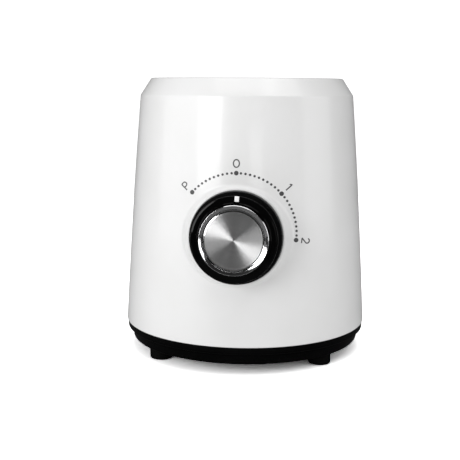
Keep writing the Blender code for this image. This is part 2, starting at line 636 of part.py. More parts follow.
def build_switch():
    half = SWITCH_SIZE / 2.0
    front = SWITCH_FRONT
    back = front - SWITCH_DEPTH
    body = boxes("switch_body", [((-half, -half, back), (half, half, front))], BLACK, KNOB)
    bushing = cylinder("switch_bushing", BUSHING_RADIUS, front - LIP, BUSHING_REACH, None, KNOB, "small")
    bore = cylinder("switch_bore", SPINDLE_RADIUS + RUNNING, front - SWITCH_DEPTH / 2.0 - TOUCH,
                    BUSHING_REACH + LIP, None, KNOB, "small")
    combine(body, 'UNION', bushing)
    combine(body, 'DIFFERENCE', bore)
    nut_low = BOSS_RISE + TOUCH
    sides = toothed(NUT_RADIUS, NUT_RADIUS, 6, 0.5, 0.0)[1::4]
    hole = arc(BUSHING_RADIUS + TOUCH, 0.0, 330.0, STEPS["small"])
    plate("switch_nut", [sides, hole], nut_low, nut_low + NUT_HEIGHT, BRASS, KNOB)
    width, thick, length = TERMINAL_SIZE
    for i in range(3):
        x = (i - 1) * TERMINAL_PITCH
        boxes(f"switch_terminal_{i + 1}", [((x - width / 2.0, -thick / 2.0, back - TOUCH - length),
                                            (x + width / 2.0, thick / 2.0, back - TOUCH))], BRASS, KNOB)


# ---- motor --------------------------------------------------------------------------------------
def build_stator():
    outline = rounded_rectangle(STACK_SIZE[0] / 2.0, STACK_SIZE[1] / 2.0, STACK_CORNER)
    stack = as_mesh(plate("stator_core", [outline], *STACK_Z, IRON, BODY))
    low, high = STACK_Z[0] - LIP, STACK_Z[1] + LIP
    bore = cylinder("stack_bore", BORE_RADIUS, low, high, None, BODY, "seat")
    windows = [boxes(f"coil_window_{near}", [((near, -WINDOW[1], low), (near + WINDOW[0] - POLE_HALF_WIDTH,
                                                                         WINDOW[1], high))], None, BODY)
               for near in (POLE_HALF_WIDTH, -WINDOW[0])]
    combine(stack, 'DIFFERENCE', bore, *windows)
    for side in (-1, 1):
        hole = cylinder(f"stack_tie_{side + 1}", TIE_RADIUS + TOUCH, low, high, None, BODY, "screw",
                        (side * LEG_X, 0.0, 0.0))
        combine(stack, 'DIFFERENCE', hole)
    overhang = TOUCH + COIL_RADIUS
    middle = (STACK_Z[0] + STACK_Z[1]) / 2.0
    half_height = (STACK_Z[1] - STACK_Z[0]) / 2.0 + overhang + TOUCH
    loop = [(x, 0.0, z) for x, z in rounded_rectangle(COIL_X, half_height, COIL_CORNER)]
    for side, y in (("front", -COIL_Y), ("rear", COIL_Y)):
        wire(f"field_coil_{side}", loop, COIL_RADIUS, COPPER, BODY, (0.0, y, middle), cyclic=True)


def bracket(name, plate_radius, low, legs, cup, holes, tie):
    """A round plate with two legs to the stack and a cup for a bush; tie is the span of its screw holes."""
    solid = ring(name, SHAFT_RADIUS + 0.0010, plate_radius, low, low + BRACKET_PLATE, ALUMINIUM, BODY, "seat")
    half_x, half_y = LEG_SIZE[0] / 2.0, LEG_SIZE[1] / 2.0
    for side in (-1, 1):
        leg = boxes(f"{name}_leg_{side + 1}", [((side * LEG_X - half_x, -half_y, legs[0]),
                                               (side * LEG_X + half_x, half_y, legs[1]))], None, BODY)
        combine(solid, 'UNION', leg)
    seat = ring(f"{name}_cup", BUSH_RADIUS + TOUCH, CUP_RADIUS, cup[0], cup[1], None, BODY, "small")
    combine(solid, 'UNION', seat)
    for side in (-1, 1):
        hole = cylinder(f"{name}_tie_{side + 1}", TIE_RADIUS + TOUCH, tie[0], tie[1], None, BODY, "screw",
                        (side * LEG_X, 0.0, 0.0))
        combine(solid, 'DIFFERENCE', hole)
    for i, angle in enumerate(holes):
        hole = cylinder(f"{name}_hole_{i}", SCREW_RADIUS + TOUCH, low - LIP, low + BRACKET_PLATE + LIP, None, BODY,
                        "screw", (*polar(DAMPER_CIRCLE, angle), 0.0))
        combine(solid, 'DIFFERENCE', hole)
    return solid


def build_brackets():
    top = UPPER_PLATE_Z + BRACKET_PLATE
    upper_cup = (UPPER_PLATE_Z - CUP_DEPTH, UPPER_PLATE_Z + LIP)
    lower_top = LOWER_PLATE_Z + BRACKET_PLATE
    lower_cup = (LOWER_PLATE_Z - CUP_DEPTH + 0.0024, LOWER_PLATE_Z + LIP)
    bracket("upper_bracket", UPPER_PLATE_RADIUS, UPPER_PLATE_Z, (STACK_Z[1] + TOUCH, UPPER_PLATE_Z + LIP),
            upper_cup, DAMPER_ANGLES, (STACK_Z[1] - LIP, TIE_TOP_Z + TOUCH))
    bracket("lower_bracket", LOWER_PLATE_RADIUS, LOWER_PLATE_Z, (lower_top - LIP, STACK_Z[0] - TOUCH),
            lower_cup, (), (LOWER_PLATE_Z - LIP, STACK_Z[0] + LIP))
    for name, low, high in (("upper_bush", upper_cup[0] + TOUCH, UPPER_PLATE_Z - TOUCH),
                            ("lower_bush", lower_cup[0] + TOUCH, LOWER_PLATE_Z - TOUCH)):
        ring(name, SHAFT_RADIUS + RUNNING, BUSH_RADIUS, low, high, BRASS, BODY, "small")
    length = TIE_TOP_Z - LOWER_PLATE_Z
    tie = screw_profile(TIE_RADIUS, TIE_RADIUS * 2.0, SCREW_HEAD, length)
    for name, side in (("tie_screw_left", -1), ("tie_screw_right", 1)):
        turned(name, tie, STEEL, BODY, "screw", (side * LEG_X, 0.0, LOWER_PLATE_Z - TOUCH))
    damper = (top + TOUCH, DAMPER_TOP)
    screw = screw_profile(SCREW_RADIUS, SCREW_HEAD_RADIUS, SCREW_HEAD, MOTOR_SCREW_LENGTH)
    for i, angle in enumerate(DAMPER_ANGLES):
        place_at = polar(DAMPER_CIRCLE, angle)
        ring(f"motor_damper_{i + 1}", SCREW_RADIUS + TOUCH, DAMPER_RADIUS, *damper, RUBBER, BODY, "small",
             (*place_at, 0.0))
        turned(f"motor_screw_{i + 1}", screw, STEEL, BODY, "screw", (*place_at, UPPER_PLATE_Z - TOUCH))


def build_brushes():
    bottom = LOWER_PLATE_Z + BRACKET_PLATE + TOUCH - BRUSH_Z
    half, slot = HOLDER_SIDE / 2.0, BRUSH_SIDE / 2.0 + TOUCH
    half_brush = BRUSH_SIDE / 2.0
    brush_low = COMMUTATOR_RADIUS + TOUCH
    brush_high = brush_low + BRUSH_LENGTH
    spring_low = brush_high + TOUCH + BRUSH_SPRING_WIRE
    spring_high = HOLDER_OUTER_Y - HOLDER_CAP - TOUCH - BRUSH_SPRING_WIRE
    coil = helix(BRUSH_SPRING_RADIUS, spring_low, spring_high, 4, 8)
    for side, turn in (("front", 180.0), ("rear", 0.0)):
        place_at = (0.0, 0.0, BRUSH_Z)
        rotation = (0.0, 0.0, math.radians(turn))
        holder = boxes(f"brush_holder_{side}", [((-half, HOLDER_INNER_Y, bottom), (half, HOLDER_OUTER_Y, half))],
                       BRASS, BODY, place_at, rotation)
        channel = boxes(f"brush_channel_{side}", [((-slot, 0.0, -slot), (slot, HOLDER_OUTER_Y - HOLDER_CAP, slot))],
                        None, BODY, place_at, rotation)
        combine(holder, 'DIFFERENCE', channel)
        boxes(f"carbon_brush_{side}", [((-half_brush, brush_low, -half_brush),
                                        (half_brush, brush_high, half_brush))], CARBON, BODY, place_at, rotation)
        wire(f"brush_spring_{side}", [(x, z, y) for x, y, z in coil], BRUSH_SPRING_WIRE, STEEL, BODY, place_at,
             rotation, sides=1)


def build_rotor():
    cylinder("motor_shaft", SHAFT_RADIUS, *SHAFT_Z, STEEL, ROTOR, "small")
    bore = arc(SHAFT_RADIUS + TOUCH, 0.0, 330.0, STEPS["small"])
    core = toothed(CORE_RADIUS, CORE_RADIUS - SLOT_DEPTH, CORE_TEETH, 0.50, 1.45)
    plate("armature_core", [core, bore], *STACK_Z, IRON, ROTOR)
    inner = SHAFT_RADIUS + TOUCH
    for name, low, lift in (("armature_winding_upper", STACK_Z[1] + TOUCH, 1.0),
                            ("armature_winding_lower", STACK_Z[0] - TOUCH, -1.0)):
        far = low + lift * WINDING_HEIGHT
        mid = low + lift * WINDING_HEIGHT * 0.6
        section = [(WINDING_RADIUS * 0.7, far), (WINDING_RADIUS, mid), (WINDING_RADIUS, low),
                   (inner, low), (inner, far)]
        if lift < 0.0:
            section.reverse()
        turned(name, section, COPPER, ROTOR, "small")
    bars = toothed(COMMUTATOR_RADIUS, COMMUTATOR_RADIUS - 0.0006, COMMUTATOR_BARS, 0.90, 1.0)
    plate("commutator", [bars, bore], *COMMUTATOR_Z, COPPER, ROTOR)


def build_fan():
    """A back plate and hub with straight blades set a little off the radius."""
    low, high = FAN_Z
    hub_radius = SHAFT_RADIUS * 2.0
    back_plate = ring("fan", SHAFT_RADIUS + TOUCH, FAN_RADIUS, high - 0.0015, high, BLACK, ROTOR, "seat")
    hub = ring("fan_hub", SHAFT_RADIUS + TOUCH, hub_radius, low, high - LIP, None, ROTOR, "small")
    combine(back_plate, 'UNION', hub)
    blades = []
    for i in range(FAN_BLADES):
        angle = math.radians(360.0 * i / FAN_BLADES)
        blades.append(boxes(f"fan_blade_{i}", [((hub_radius * 1.5, 0.0, low), (FAN_RADIUS - LIP, 0.0014, high - LIP))],
                            None, ROTOR, rotation=(0.0, 0.0, angle)))
    combine(back_plate, 'UNION', *blades)


def build_coupling():
    """The toothed driver that stands up in the well and turns the jar's blades."""
    outline = toothed(COUPLING_RADIUS, COUPLING_ROOT_RADIUS, COUPLING_TEETH, 0.62, 0.62)
    wheel = as_mesh(plate("drive_coupling", [outline], *COUPLING_Z, BLACK, ROTOR))
    foot = SEAT_FLOOR_Z + COLLAR_HEIGHT + LIP
    skirt = cylinder("coupling_skirt", COUPLING_RADIUS + LIP, foot, COUPLING_Z[0] + LIP, None, ROTOR, "small")
    bore = cylinder("coupling_bore", SHAFT_RADIUS + TOUCH, foot - LIP, SHAFT_Z[1] + TOUCH, None, ROTOR, "small")
    combine(wheel, 'UNION', skirt)
    combine(wheel, 'DIFFERENCE', bore)


# ---- interlock and electrics ----------------------------------------------------------------------
def build_interlock():
    """A sprung pin in the well's floor that the seated jar pushes down on to a microswitch."""
    top = SEAT_FLOOR_Z + PIN_RISE
    collar_top = FLOOR_BOTTOM - TOUCH
    collar_low = collar_top - PIN_COLLAR[1]
    hanger_top = SPRING_SEAT_Z
    hanger_low = hanger_top - HANGER_SIZE[2]
    stem_low = hanger_low - TOUCH
    axis = empty("interlock_axis", BODY, (0.0, PIN_CIRCLE, 0.0))
    turned("interlock_pin", [(0.0, top), (PIN_RADIUS - LIP, top), (PIN_RADIUS, top - LIP), (PIN_RADIUS, collar_top),
                             (PIN_COLLAR[0], collar_top), (PIN_COLLAR[0], collar_low), (STEM_RADIUS, collar_low),
                             (STEM_RADIUS, stem_low), (0.0, stem_low)], WHITE, axis, "small")
    spring = helix(SPRING_RADIUS, hanger_top + TOUCH + SPRING_WIRE, collar_low - TOUCH - SPRING_WIRE, 4, 10)
    wire("interlock_spring", spring, SPRING_WIRE, STEEL, axis, sides=1)
    half_x, half_y = HANGER_SIZE[0] / 2.0, HANGER_SIZE[1] / 2.0
    hanger = boxes("interlock_hanger", [((-half_x, -half_y, hanger_low), (half_x, half_y, hanger_top))], STEEL, axis)
    for i, side in enumerate((-1, 1)):
        near = side * (half_x - HANGER_LEG)
        far = side * half_x
        leg = boxes(f"hanger_leg_{i}", [((min(near, far), -half_y, hanger_low + LIP),
                                        (max(near, far), half_y, FLOOR_BOTTOM - TOUCH))], None, axis)
        combine(hanger, 'UNION', leg)
    hole = cylinder("hanger_hole", STEM_RADIUS + TOUCH, hanger_low - LIP, hanger_top + LIP, None, axis, "small")
    combine(hanger, 'DIFFERENCE', hole)
    build_microswitch(axis, stem_low - TOUCH)


def build_microswitch(axis, button_top):
    half = (MICROSWITCH_SIZE[0] / 2.0, MICROSWITCH_SIZE[1] / 2.0)
    top = button_top - BUTTON_RISE
    low = top - MICROSWITCH_SIZE[2]
    body = boxes("microswitch", [((-half[0], -half[1], low), (half[0], half[1], top))], BLACK, axis)
    button = (BUTTON_SIZE[0] / 2.0, BUTTON_SIZE[1] / 2.0)
    button_low = top - PIN_TRAVEL + TOUCH
    well_low = button_low - PIN_TRAVEL - TOUCH
    well = boxes("button_well", [((-button[0] - TOUCH, -button[1] - TOUCH, well_low),
                                  (button[0] + TOUCH, button[1] + TOUCH, top + LIP))], None, axis)
    combine(body, 'DIFFERENCE', well)
    boxes("microswitch_button", [((-button[0], -button[1], button_low), (button[0], button[1], button_top))],
          RED, axis)


def build_electrics():
    half_x, half_y, height = CAPACITOR_SIZE[0] / 2.0, CAPACITOR_SIZE[1] / 2.0, CAPACITOR_SIZE[2]
    low = COVER_Z + COVER_FLOOR + TOUCH
    x, y = CAPACITOR_PLACE
    turn = math.atan2(y, x) + math.pi / 2.0
    boxes("filter_capacitor", [((-half_x, -half_y, low), (half_x, half_y, low + height))], BLUE, BODY,
          (x, y, 0.0), (0.0, 0.0, turn))
    back = -housing_radius(KNOB_Z) - SWITCH_FRONT + SWITCH_DEPTH + TERMINAL_SIZE[2] + LEAD_RADIUS * 2.0
    to_brush = [(-TERMINAL_PITCH, back, KNOB_Z), (-TERMINAL_PITCH, back + 0.0020, KNOB_Z - 0.008),
                (-TERMINAL_PITCH, back + 0.0010, KNOB_Z - 0.020), (-TERMINAL_PITCH * 0.7, back, KNOB_Z - 0.031),
                (-TERMINAL_PITCH * 0.3, back + 0.0040, BRUSH_Z + 0.002),
                (0.0, -HOLDER_OUTER_Y - TOUCH * 2.0, BRUSH_Z)]
    wire("lead_brush", to_brush, LEAD_RADIUS, RED, BODY)
    end_z = low + height + TOUCH * 2.0
    to_filter = [(TERMINAL_PITCH, back, KNOB_Z), (TERMINAL_PITCH * 1.3, back + 0.0010, KNOB_Z - 0.010),
                 (TERMINAL_PITCH * 2.2, back - 0.0020, KNOB_Z - 0.022), (x * 0.7, y * 1.45, KNOB_Z - 0.040),
                 (x * 0.95, y * 1.15, end_z + 0.012), (x, y, end_z)]
    wire("lead_filter", to_filter, LEAD_RADIUS, BLUE, BODY)


# ---- assembly -----------------------------------------------------------------------------------
clear_scene()
PARTS = new_collection("blender_motor_base")
CUTTERS = new_collection("cutters")

WHITE = material("gloss_white", (0.86, 0.86, 0.86), 0.18)
BLACK = material("satin_black", (0.012, 0.012, 0.013), 0.45)
BLACK_GLOSS = material("gloss_black", (0.008, 0.008, 0.009), 0.12)
GREY = material("dark_grey", (0.05, 0.05, 0.052), 0.45)
RUBBER = material("rubber", (0.02, 0.02, 0.02), 0.75)
CHROME = material("chrome", (0.80, 0.80, 0.81), 0.08, 1.0)
ALUMINIUM = material("aluminium", (0.66, 0.66, 0.67), 0.35, 1.0)
STEEL = material("steel", (0.50, 0.50, 0.51), 0.30, 1.0)
IRON = material("stack_iron", (0.22, 0.22, 0.23), 0.55, 1.0)
COPPER = material("enamelled_copper", (0.55, 0.22, 0.10), 0.35, 1.0)
BRASS = material("brass", (0.72, 0.56, 0.28), 0.30, 1.0)
CARBON = material("carbon", (0.03, 0.03, 0.03), 0.60)
RED = material("red_plastic", (0.45, 0.03, 0.02), 0.40)
BLUE = material("blue_plastic", (0.05, 0.12, 0.40), 0.40)

BODY = empty("body_axis", location=(0.0, AXIS_Y, 0.0))
ROTOR = empty("rotor_axis", BODY)
KNOB = empty("knob_panel", BODY, (0.0, -housing_radius(KNOB_Z), KNOB_Z), (math.pi / 2.0 - TILT, 0.0, 0.0))
KNOB_CONTROL = empty("knob_axis", KNOB)

build_housing()
build_feet(build_bottom_cover())
build_gland()
build_jar_seat()
build_knob()
build_spindle()
build_switch()
build_stator()
build_brackets()
build_brushes()
build_rotor()
build_fan()
build_coupling()
build_interlock()
build_electrics()
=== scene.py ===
# %% [markdown]
# # The motor base of a countertop blender
#
# The base is a white moulded housing on a black bottom cover. A large rotary knob sits on its front,
# inside a printed scale, and a dark well in its top takes the jar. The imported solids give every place
# and every moving body, so the first step is to load them and to remember the box they fill.

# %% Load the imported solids
import json
import math

import bmesh
import bpy
import numpy as np
from mathutils import Matrix, Vector


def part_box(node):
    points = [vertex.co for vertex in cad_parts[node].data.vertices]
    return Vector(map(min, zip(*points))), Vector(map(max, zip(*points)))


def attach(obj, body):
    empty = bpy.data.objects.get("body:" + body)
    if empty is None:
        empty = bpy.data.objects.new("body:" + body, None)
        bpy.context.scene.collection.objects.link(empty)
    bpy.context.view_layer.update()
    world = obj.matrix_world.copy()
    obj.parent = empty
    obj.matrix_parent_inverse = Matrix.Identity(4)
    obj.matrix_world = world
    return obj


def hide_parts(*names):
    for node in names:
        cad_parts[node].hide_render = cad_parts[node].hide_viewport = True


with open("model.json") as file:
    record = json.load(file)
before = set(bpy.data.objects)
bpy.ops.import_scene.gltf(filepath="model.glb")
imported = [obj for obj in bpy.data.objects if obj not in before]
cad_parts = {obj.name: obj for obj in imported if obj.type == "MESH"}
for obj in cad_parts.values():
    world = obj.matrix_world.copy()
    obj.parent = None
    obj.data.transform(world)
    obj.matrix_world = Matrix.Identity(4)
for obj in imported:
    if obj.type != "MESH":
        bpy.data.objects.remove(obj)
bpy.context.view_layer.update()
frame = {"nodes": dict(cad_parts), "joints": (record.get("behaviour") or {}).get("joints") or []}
joints = {joint["name"]: joint for joint in frame["joints"]}

# %% [markdown]
# Two axes govern all the shapes. The housing, the well and the rotor are turned about an upright axis.
# The knob turns about an axis that is square to the sloping side. A placement matrix for each lets every
# piece be drawn in its own plain coordinates, with Z along the axis it is turned about.

# %% Axes of the body and of the knob
MM = 0.001
BODY_Y = joints["rotor_spin"]["pos_m"][1]
KNOB_POINT = Vector(joints["knob_turn"]["pos_m"])
KNOB_OUT = Vector(joints["knob_turn"]["axis"]).normalized()

upright = Matrix.Translation((0.0, BODY_Y, 0.0))
across = Vector((1.0, 0.0, 0.0))
knob_turning = Matrix((across, KNOB_OUT.cross(across), KNOB_OUT)).transposed().to_4x4()
on_panel = Matrix.Translation(KNOB_POINT) @ knob_turning
print("body axis at y", round(BODY_Y, 5), "knob tilts up by", round(math.degrees(math.asin(KNOB_OUT.z)), 2))


# %% [markdown]
# The sizes of the turned pieces are read off the solids instead of being typed again. A section gives the
# smallest and largest radius of a solid about its own axis, and its lowest and highest point along it.

# %% Read a solid's section about its axis
def section(node, placement):
    inverse = placement.inverted()
    local = [inverse @ vertex.co for vertex in frame["nodes"][node].data.vertices]
    radii = [math.hypot(point.x, point.y) for point in local]
    heights = [point.z for point in local]
    return min(radii), max(radii), min(heights), max(heights)


for solid_name in ("bottom_cover", "jar_seat", "drive_coupling"):
    print(solid_name, [round(value / MM, 2) for value in section(solid_name, upright)], "mm")


# %% [markdown]
# ## Making turned pieces
#
# Almost every visible piece of this machine is a solid of revolution: injection tools and lathes both make
# round things cheaply. Blender's Screw modifier could turn them, but a piece made point by point can also
# have uneven steps and a bump on one side, which the housing needs. Each outline is a closed list of
# (radius, height, rounding), and the rounding is what makes the edges catch light like moulded ones.

# %% Round the corners of an outline
ARC_STEP = math.radians(11.0)


def rounded(corners):
    """Points of a closed outline; a corner's third number is its rounding radius."""
    points = []
    for i, (x, y, rounding) in enumerate(corners):
        corner = Vector((x, y))
        if rounding <= 0.0:
            points.append(corner)
            continue
        before = (Vector(corners[i - 1][:2]) - corner).normalized()
        after = (Vector(corners[(i + 1) % len(corners)][:2]) - corner).normalized()
        half = before.angle(after) / 2.0
        centre = corner + (before + after).normalized() * rounding / math.sin(half)
        start = corner + before * rounding / math.tan(half) - centre
        end = corner + after * rounding / math.tan(half) - centre
        turn = start.angle_signed(end)
        steps = max(2, math.ceil(abs(turn) / ARC_STEP))
        for step in range(steps + 1):
            angle = -turn * step / steps
            points.append(centre + Matrix.Rotation(angle, 2) @ start)
    return [(point.x, point.y) for point in points]


# %% Turn an outline about Z
def surface_object(name, points, faces, placement, sharp=38.0):
    """A mesh object with welded points, outward faces and smooth shading below the sharp angle."""
    mesh = bpy.data.meshes.new(name)
    mesh.from_pydata([tuple(point) for point in points], [], faces)
    work = bmesh.new()
    work.from_mesh(mesh)
    bmesh.ops.remove_doubles(work, verts=work.verts, dist=1e-7)
    bmesh.ops.recalc_face_normals(work, faces=work.faces)
    work.to_mesh(mesh)
    work.free()
    smooth(mesh, sharp)
    made = bpy.data.objects.new(name, mesh)
    bpy.context.scene.collection.objects.link(made)
    made.matrix_world = placement
    return made


def smooth(mesh, sharp=38.0):
    mesh.shade_smooth()
    mesh.set_sharp_from_angle(angle=math.radians(sharp))


def grid_faces(columns, rows, closed_rows):
    """Four-sided faces over columns that wrap round and rows that may."""
    last = rows if closed_rows else rows - 1
    faces = []
    for column in range(columns):
        following = (column + 1) % columns
        for row in range(last):
            above = (row + 1) % rows
            faces.append((column * rows + row, following * rows + row,
                          following * rows + above, column * rows + above))
    return faces


def turned(name, corners, placement, steps=128):
    outline = rounded(corners)
    on_axis = outline[0][0] == 0.0 and outline[-1][0] == 0.0
    points = []
    for step in range(steps):
        angle = 2.0 * math.pi * step / steps
        points += [(r * math.cos(angle), r * math.sin(angle), z) for r, z in outline]
    return surface_object(name, points, grid_faces(steps, len(outline), not on_axis), placement)


# %% [markdown]
# Holes, slots and recesses are cut with the Boolean modifier, which keeps the walls as real geometry. It is
# applied straight away, and the cutter is removed, so that nothing hidden is left in the file. Pieces that
# only add material, such as a lug on a wall, are joined instead.

# %% Cut and join pieces
def apply_modifiers(piece, sharp=38.0):
    bpy.context.view_layer.update()
    evaluated = piece.evaluated_get(bpy.context.evaluated_depsgraph_get())
    finished = bpy.data.meshes.new_from_object(evaluated)
    piece.modifiers.clear()
    piece.data = finished
    smooth(finished, sharp)
    return piece


def cut(piece, *cutters):
    for cutter in cutters:
        boolean = piece.modifiers.new("cut", 'BOOLEAN')
        boolean.operation = 'DIFFERENCE'
        boolean.solver = 'EXACT'
        boolean.object = cutter
    apply_modifiers(piece)
    for cutter in cutters:
        bpy.data.objects.remove(cutter, do_unlink=True)
    return piece


def join(piece, *others):
    """Add the others' meshes to the piece's own, in place."""
    work = bmesh.new()
    work.from_mesh(piece.data)
    for other in others:
        moved = other.data.copy()
        moved.transform(piece.matrix_world.inverted() @ other.matrix_world)
        work.from_mesh(moved)
        bpy.data.objects.remove(other, do_unlink=True)
    work.to_mesh(piece.data)
    work.free()
    smooth(piece.data)
    return piece


# %% [markdown]
# Slots and blocks start as a flat outline that is drawn upward. The flare widens the outline at one end,
# which gives a cut slot its chamfer and a block its broken edges.

# %% Draw an outline upward
def prism(name, outline, layers, placement):
    """Stack copies of a flat outline; each layer is (height, growth outward from the centre line)."""
    centre = Vector((sum(x for x, y in outline) / len(outline), sum(y for x, y in outline) / len(outline)))
    points = []
    for height, growth in layers:
        for x, y in outline:
            outward = (Vector((x, y)) - centre).normalized() * growth
            points.append((x + outward.x, y + outward.y, height))
    count = len(outline)
    faces = []
    for layer in range(len(layers) - 1):
        for i in range(count):
            following = (i + 1) % count
            low, high = layer * count, (layer + 1) * count
            faces.append((low + i, low + following, high + following, high + i))
    faces.append(tuple(range(count)))
    faces.append(tuple(range((len(layers) - 1) * count, len(layers) * count)))
    return surface_object(name, points, faces, placement)


def round_ended(length, width, steps=8):
    """Outline of a slot along X with half-round ends."""
    radius = width / 2.0
    points = []
    for end, start in ((1.0, -90.0), (-1.0, 90.0)):
        for step in range(steps + 1):
            angle = math.radians(start + 180.0 * step / steps)
            points.append((end * (length / 2.0 - radius) + radius * math.cos(angle), radius * math.sin(angle)))
    return points


def rounded_box(name, half, placement, rounding=0.0005):
    """A block with rounded edges, by its half sizes."""
    work = bmesh.new()
    bmesh.ops.create_cube(work, size=2.0)
    bmesh.ops.scale(work, vec=half, verts=work.verts)
    bmesh.ops.bevel(work, geom=work.edges[:], offset=rounding, segments=3, profile=0.5, affect='EDGES')
    mesh = bpy.data.meshes.new(name)
    work.to_mesh(mesh)
    work.free()
    smooth(mesh, 60.0)
    made = bpy.data.objects.new(name, mesh)
    bpy.context.scene.collection.objects.link(made)
    made.matrix_world = placement
    return made


def around(radius, degrees, height, spin=0.0):
    """Placement on the body at a radius and an angle, with X pointing away from the axis."""
    turn = Matrix.Rotation(math.radians(degrees), 4, 'Z')
    return upright @ turn @ Matrix.Translation((radius, 0.0, height)) @ Matrix.Rotation(spin, 4, 'Z')


# %% [markdown]
# ## Finishes
#
# A moulded or machined surface is never one flat value. The shared effects are built once as shader node
# groups: a fine moulding grain with slow clouds in it, edges rubbed by handling, and the rings left by a
# turning tool. They put out only masks and heights. Each finish then decides what those do to its own colour,
# roughness and bump.

# %% Small helpers for node trees
def node(tree, kind, **settings):
    made = tree.nodes.new(kind)
    for key, value in settings.items():
        setattr(made, key, value)
    return made


def feed(tree, value, socket):
    """Link an output to an input, or set the input if the value is plain."""
    if isinstance(value, bpy.types.NodeSocket):
        tree.links.new(value, socket)
    else:
        socket.default_value = value


def reckon(tree, operation, first, second=0.0):
    made = node(tree, 'ShaderNodeMath', operation=operation)
    feed(tree, first, made.inputs[0])
    feed(tree, second, made.inputs[1])
    return made.outputs[0]


def spread(tree, value, low, high, new_low, new_high):
    """Map a value from one range to another, held within it."""
    made = node(tree, 'ShaderNodeMapRange')
    for socket, setting in zip(made.inputs, (value, low, high, new_low, new_high)):
        feed(tree, setting, socket)
    return made.outputs[0]


def blend_colours(tree, mask, first, second):
    made = node(tree, 'ShaderNodeMix', data_type='RGBA')
    feed(tree, mask, made.inputs[0])
    feed(tree, (*first, 1.0) if isinstance(first, tuple) else first, made.inputs[6])
    feed(tree, (*second, 1.0), made.inputs[7])
    return made.outputs[2]


def new_group(name, inputs, outputs):
    group = bpy.data.node_groups.new(name, 'ShaderNodeTree')
    for label, kind, value in inputs:
        socket = group.interface.new_socket(label, in_out='INPUT', socket_type=kind)
        if value is not None:
            socket.default_value = value
    for label in outputs:
        group.interface.new_socket(label, in_out='OUTPUT', socket_type='NodeSocketFloat')
    return group, node(group, 'NodeGroupInput'), node(group, 'NodeGroupOutput')


# %% Moulding grain
POINT = ("Position", 'NodeSocketVector', None)


def make_moulding_grain():
    """Fine texture of a polished mould, slow clouds from cooling, and sparse specks of dust."""
    tree, given, result = new_group("moulding_grain", [POINT, ("Grains per Metre", 'NodeSocketFloat', 4000.0),
                                                       ("Clouds per Metre", 'NodeSocketFloat', 40.0)],
                                    ["Grain", "Clouds", "Specks"])
    grain = node(tree, 'ShaderNodeTexNoise')
    grain.inputs["Detail"].default_value = 3.0
    clouds = node(tree, 'ShaderNodeTexNoise')
    clouds.inputs["Detail"].default_value = 2.0
    specks = node(tree, 'ShaderNodeTexVoronoi')
    for texture, size in ((grain, 1), (clouds, 2)):
        feed(tree, given.outputs[0], texture.inputs["Vector"])
        feed(tree, given.outputs[size], texture.inputs["Scale"])
    feed(tree, given.outputs[0], specks.inputs["Vector"])
    feed(tree, reckon(tree, 'MULTIPLY', given.outputs[2], 8.0), specks.inputs["Scale"])
    feed(tree, grain.outputs[0], result.inputs[0])
    feed(tree, spread(tree, clouds.outputs[0], 0.35, 0.65, 0.0, 1.0), result.inputs[1])
    feed(tree, spread(tree, specks.outputs["Distance"], 0.05, 0.11, 1.0, 0.0), result.inputs[2])
    return tree


def make_rubbed_edges():
    """Where hands and cloths have rubbed the outer edges."""
    inputs = [POINT, ("Patches per Metre", 'NodeSocketFloat', 300.0)]
    tree, given, result = new_group("rubbed_edges", inputs, ["Rubbed"])
    shape = node(tree, 'ShaderNodeNewGeometry')
    patches = node(tree, 'ShaderNodeTexNoise')
    feed(tree, given.outputs[0], patches.inputs["Vector"])
    feed(tree, given.outputs[1], patches.inputs["Scale"])
    edges = spread(tree, shape.outputs["Pointiness"], 0.52, 0.60, 0.0, 1.0)
    broken = spread(tree, patches.outputs[0], 0.40, 0.62, 0.15, 1.0)
    feed(tree, reckon(tree, 'MULTIPLY', edges, broken), result.inputs[0])
    return tree


def make_tool_rings():
    """Rings about the piece's own Z, as a lathe tool leaves them, each a little different."""
    tree, given, result = new_group("tool_rings", [POINT, ("Rings per Metre", 'NodeSocketFloat', 4000.0)],
                                    ["Height", "Tone"])
    parts = node(tree, 'ShaderNodeSeparateXYZ')
    feed(tree, given.outputs[0], parts.inputs[0])
    squares = [reckon(tree, 'POWER', parts.outputs[i], 2.0) for i in (0, 1)]
    radius = reckon(tree, 'SQRT', reckon(tree, 'ADD', *squares))
    count = reckon(tree, 'MULTIPLY', radius, given.outputs[1])
    cutting = node(tree, 'ShaderNodeTexNoise', noise_dimensions='1D')
    feed(tree, count, cutting.inputs["W"])
    cutting.inputs["Scale"].default_value = 1.0
    cutting.inputs["Detail"].default_value = 2.0
    feed(tree, cutting.outputs[0], result.inputs[0])
    slow = node(tree, 'ShaderNodeTexNoise', noise_dimensions='1D')
    feed(tree, count, slow.inputs["W"])
    slow.inputs["Scale"].default_value = 0.23
    feed(tree, spread(tree, slow.outputs[0], 0.3, 0.7, 0.0, 1.0), result.inputs[1])
    return tree


moulding_grain = make_moulding_grain()
rubbed_edges = make_rubbed_edges()
tool_rings = make_tool_rings()
print("shared effects:", [group.name for group in bpy.data.node_groups])


# %% [markdown]
# A finish starts with a Principled shader whose constant values sit on its own sockets. The effects come in
# through the object's own coordinates, so that they stay on a piece when it turns.

# %% Start a finish
def start_finish(name, roughness, metallic=0.0, **constants):
    finish = bpy.data.materials.new(name)
    finish.use_nodes = True
    tree = finish.node_tree
    shader = tree.nodes["Principled BSDF"]
    shader.inputs["Roughness"].default_value = roughness
    shader.inputs["Metallic"].default_value = metallic
    for label, value in constants.items():
        shader.inputs[label.replace("_", " ")].default_value = value
    place = node(tree, 'ShaderNodeTexCoord').outputs["Object"]
    return finish, tree, shader, place


def use_group(tree, group, place, *values):
    made = node(tree, 'ShaderNodeGroup', node_tree=group)
    feed(tree, place, made.inputs[0])
    for socket, value in zip(made.inputs[1:], values):
        socket.default_value = value
    return made.outputs


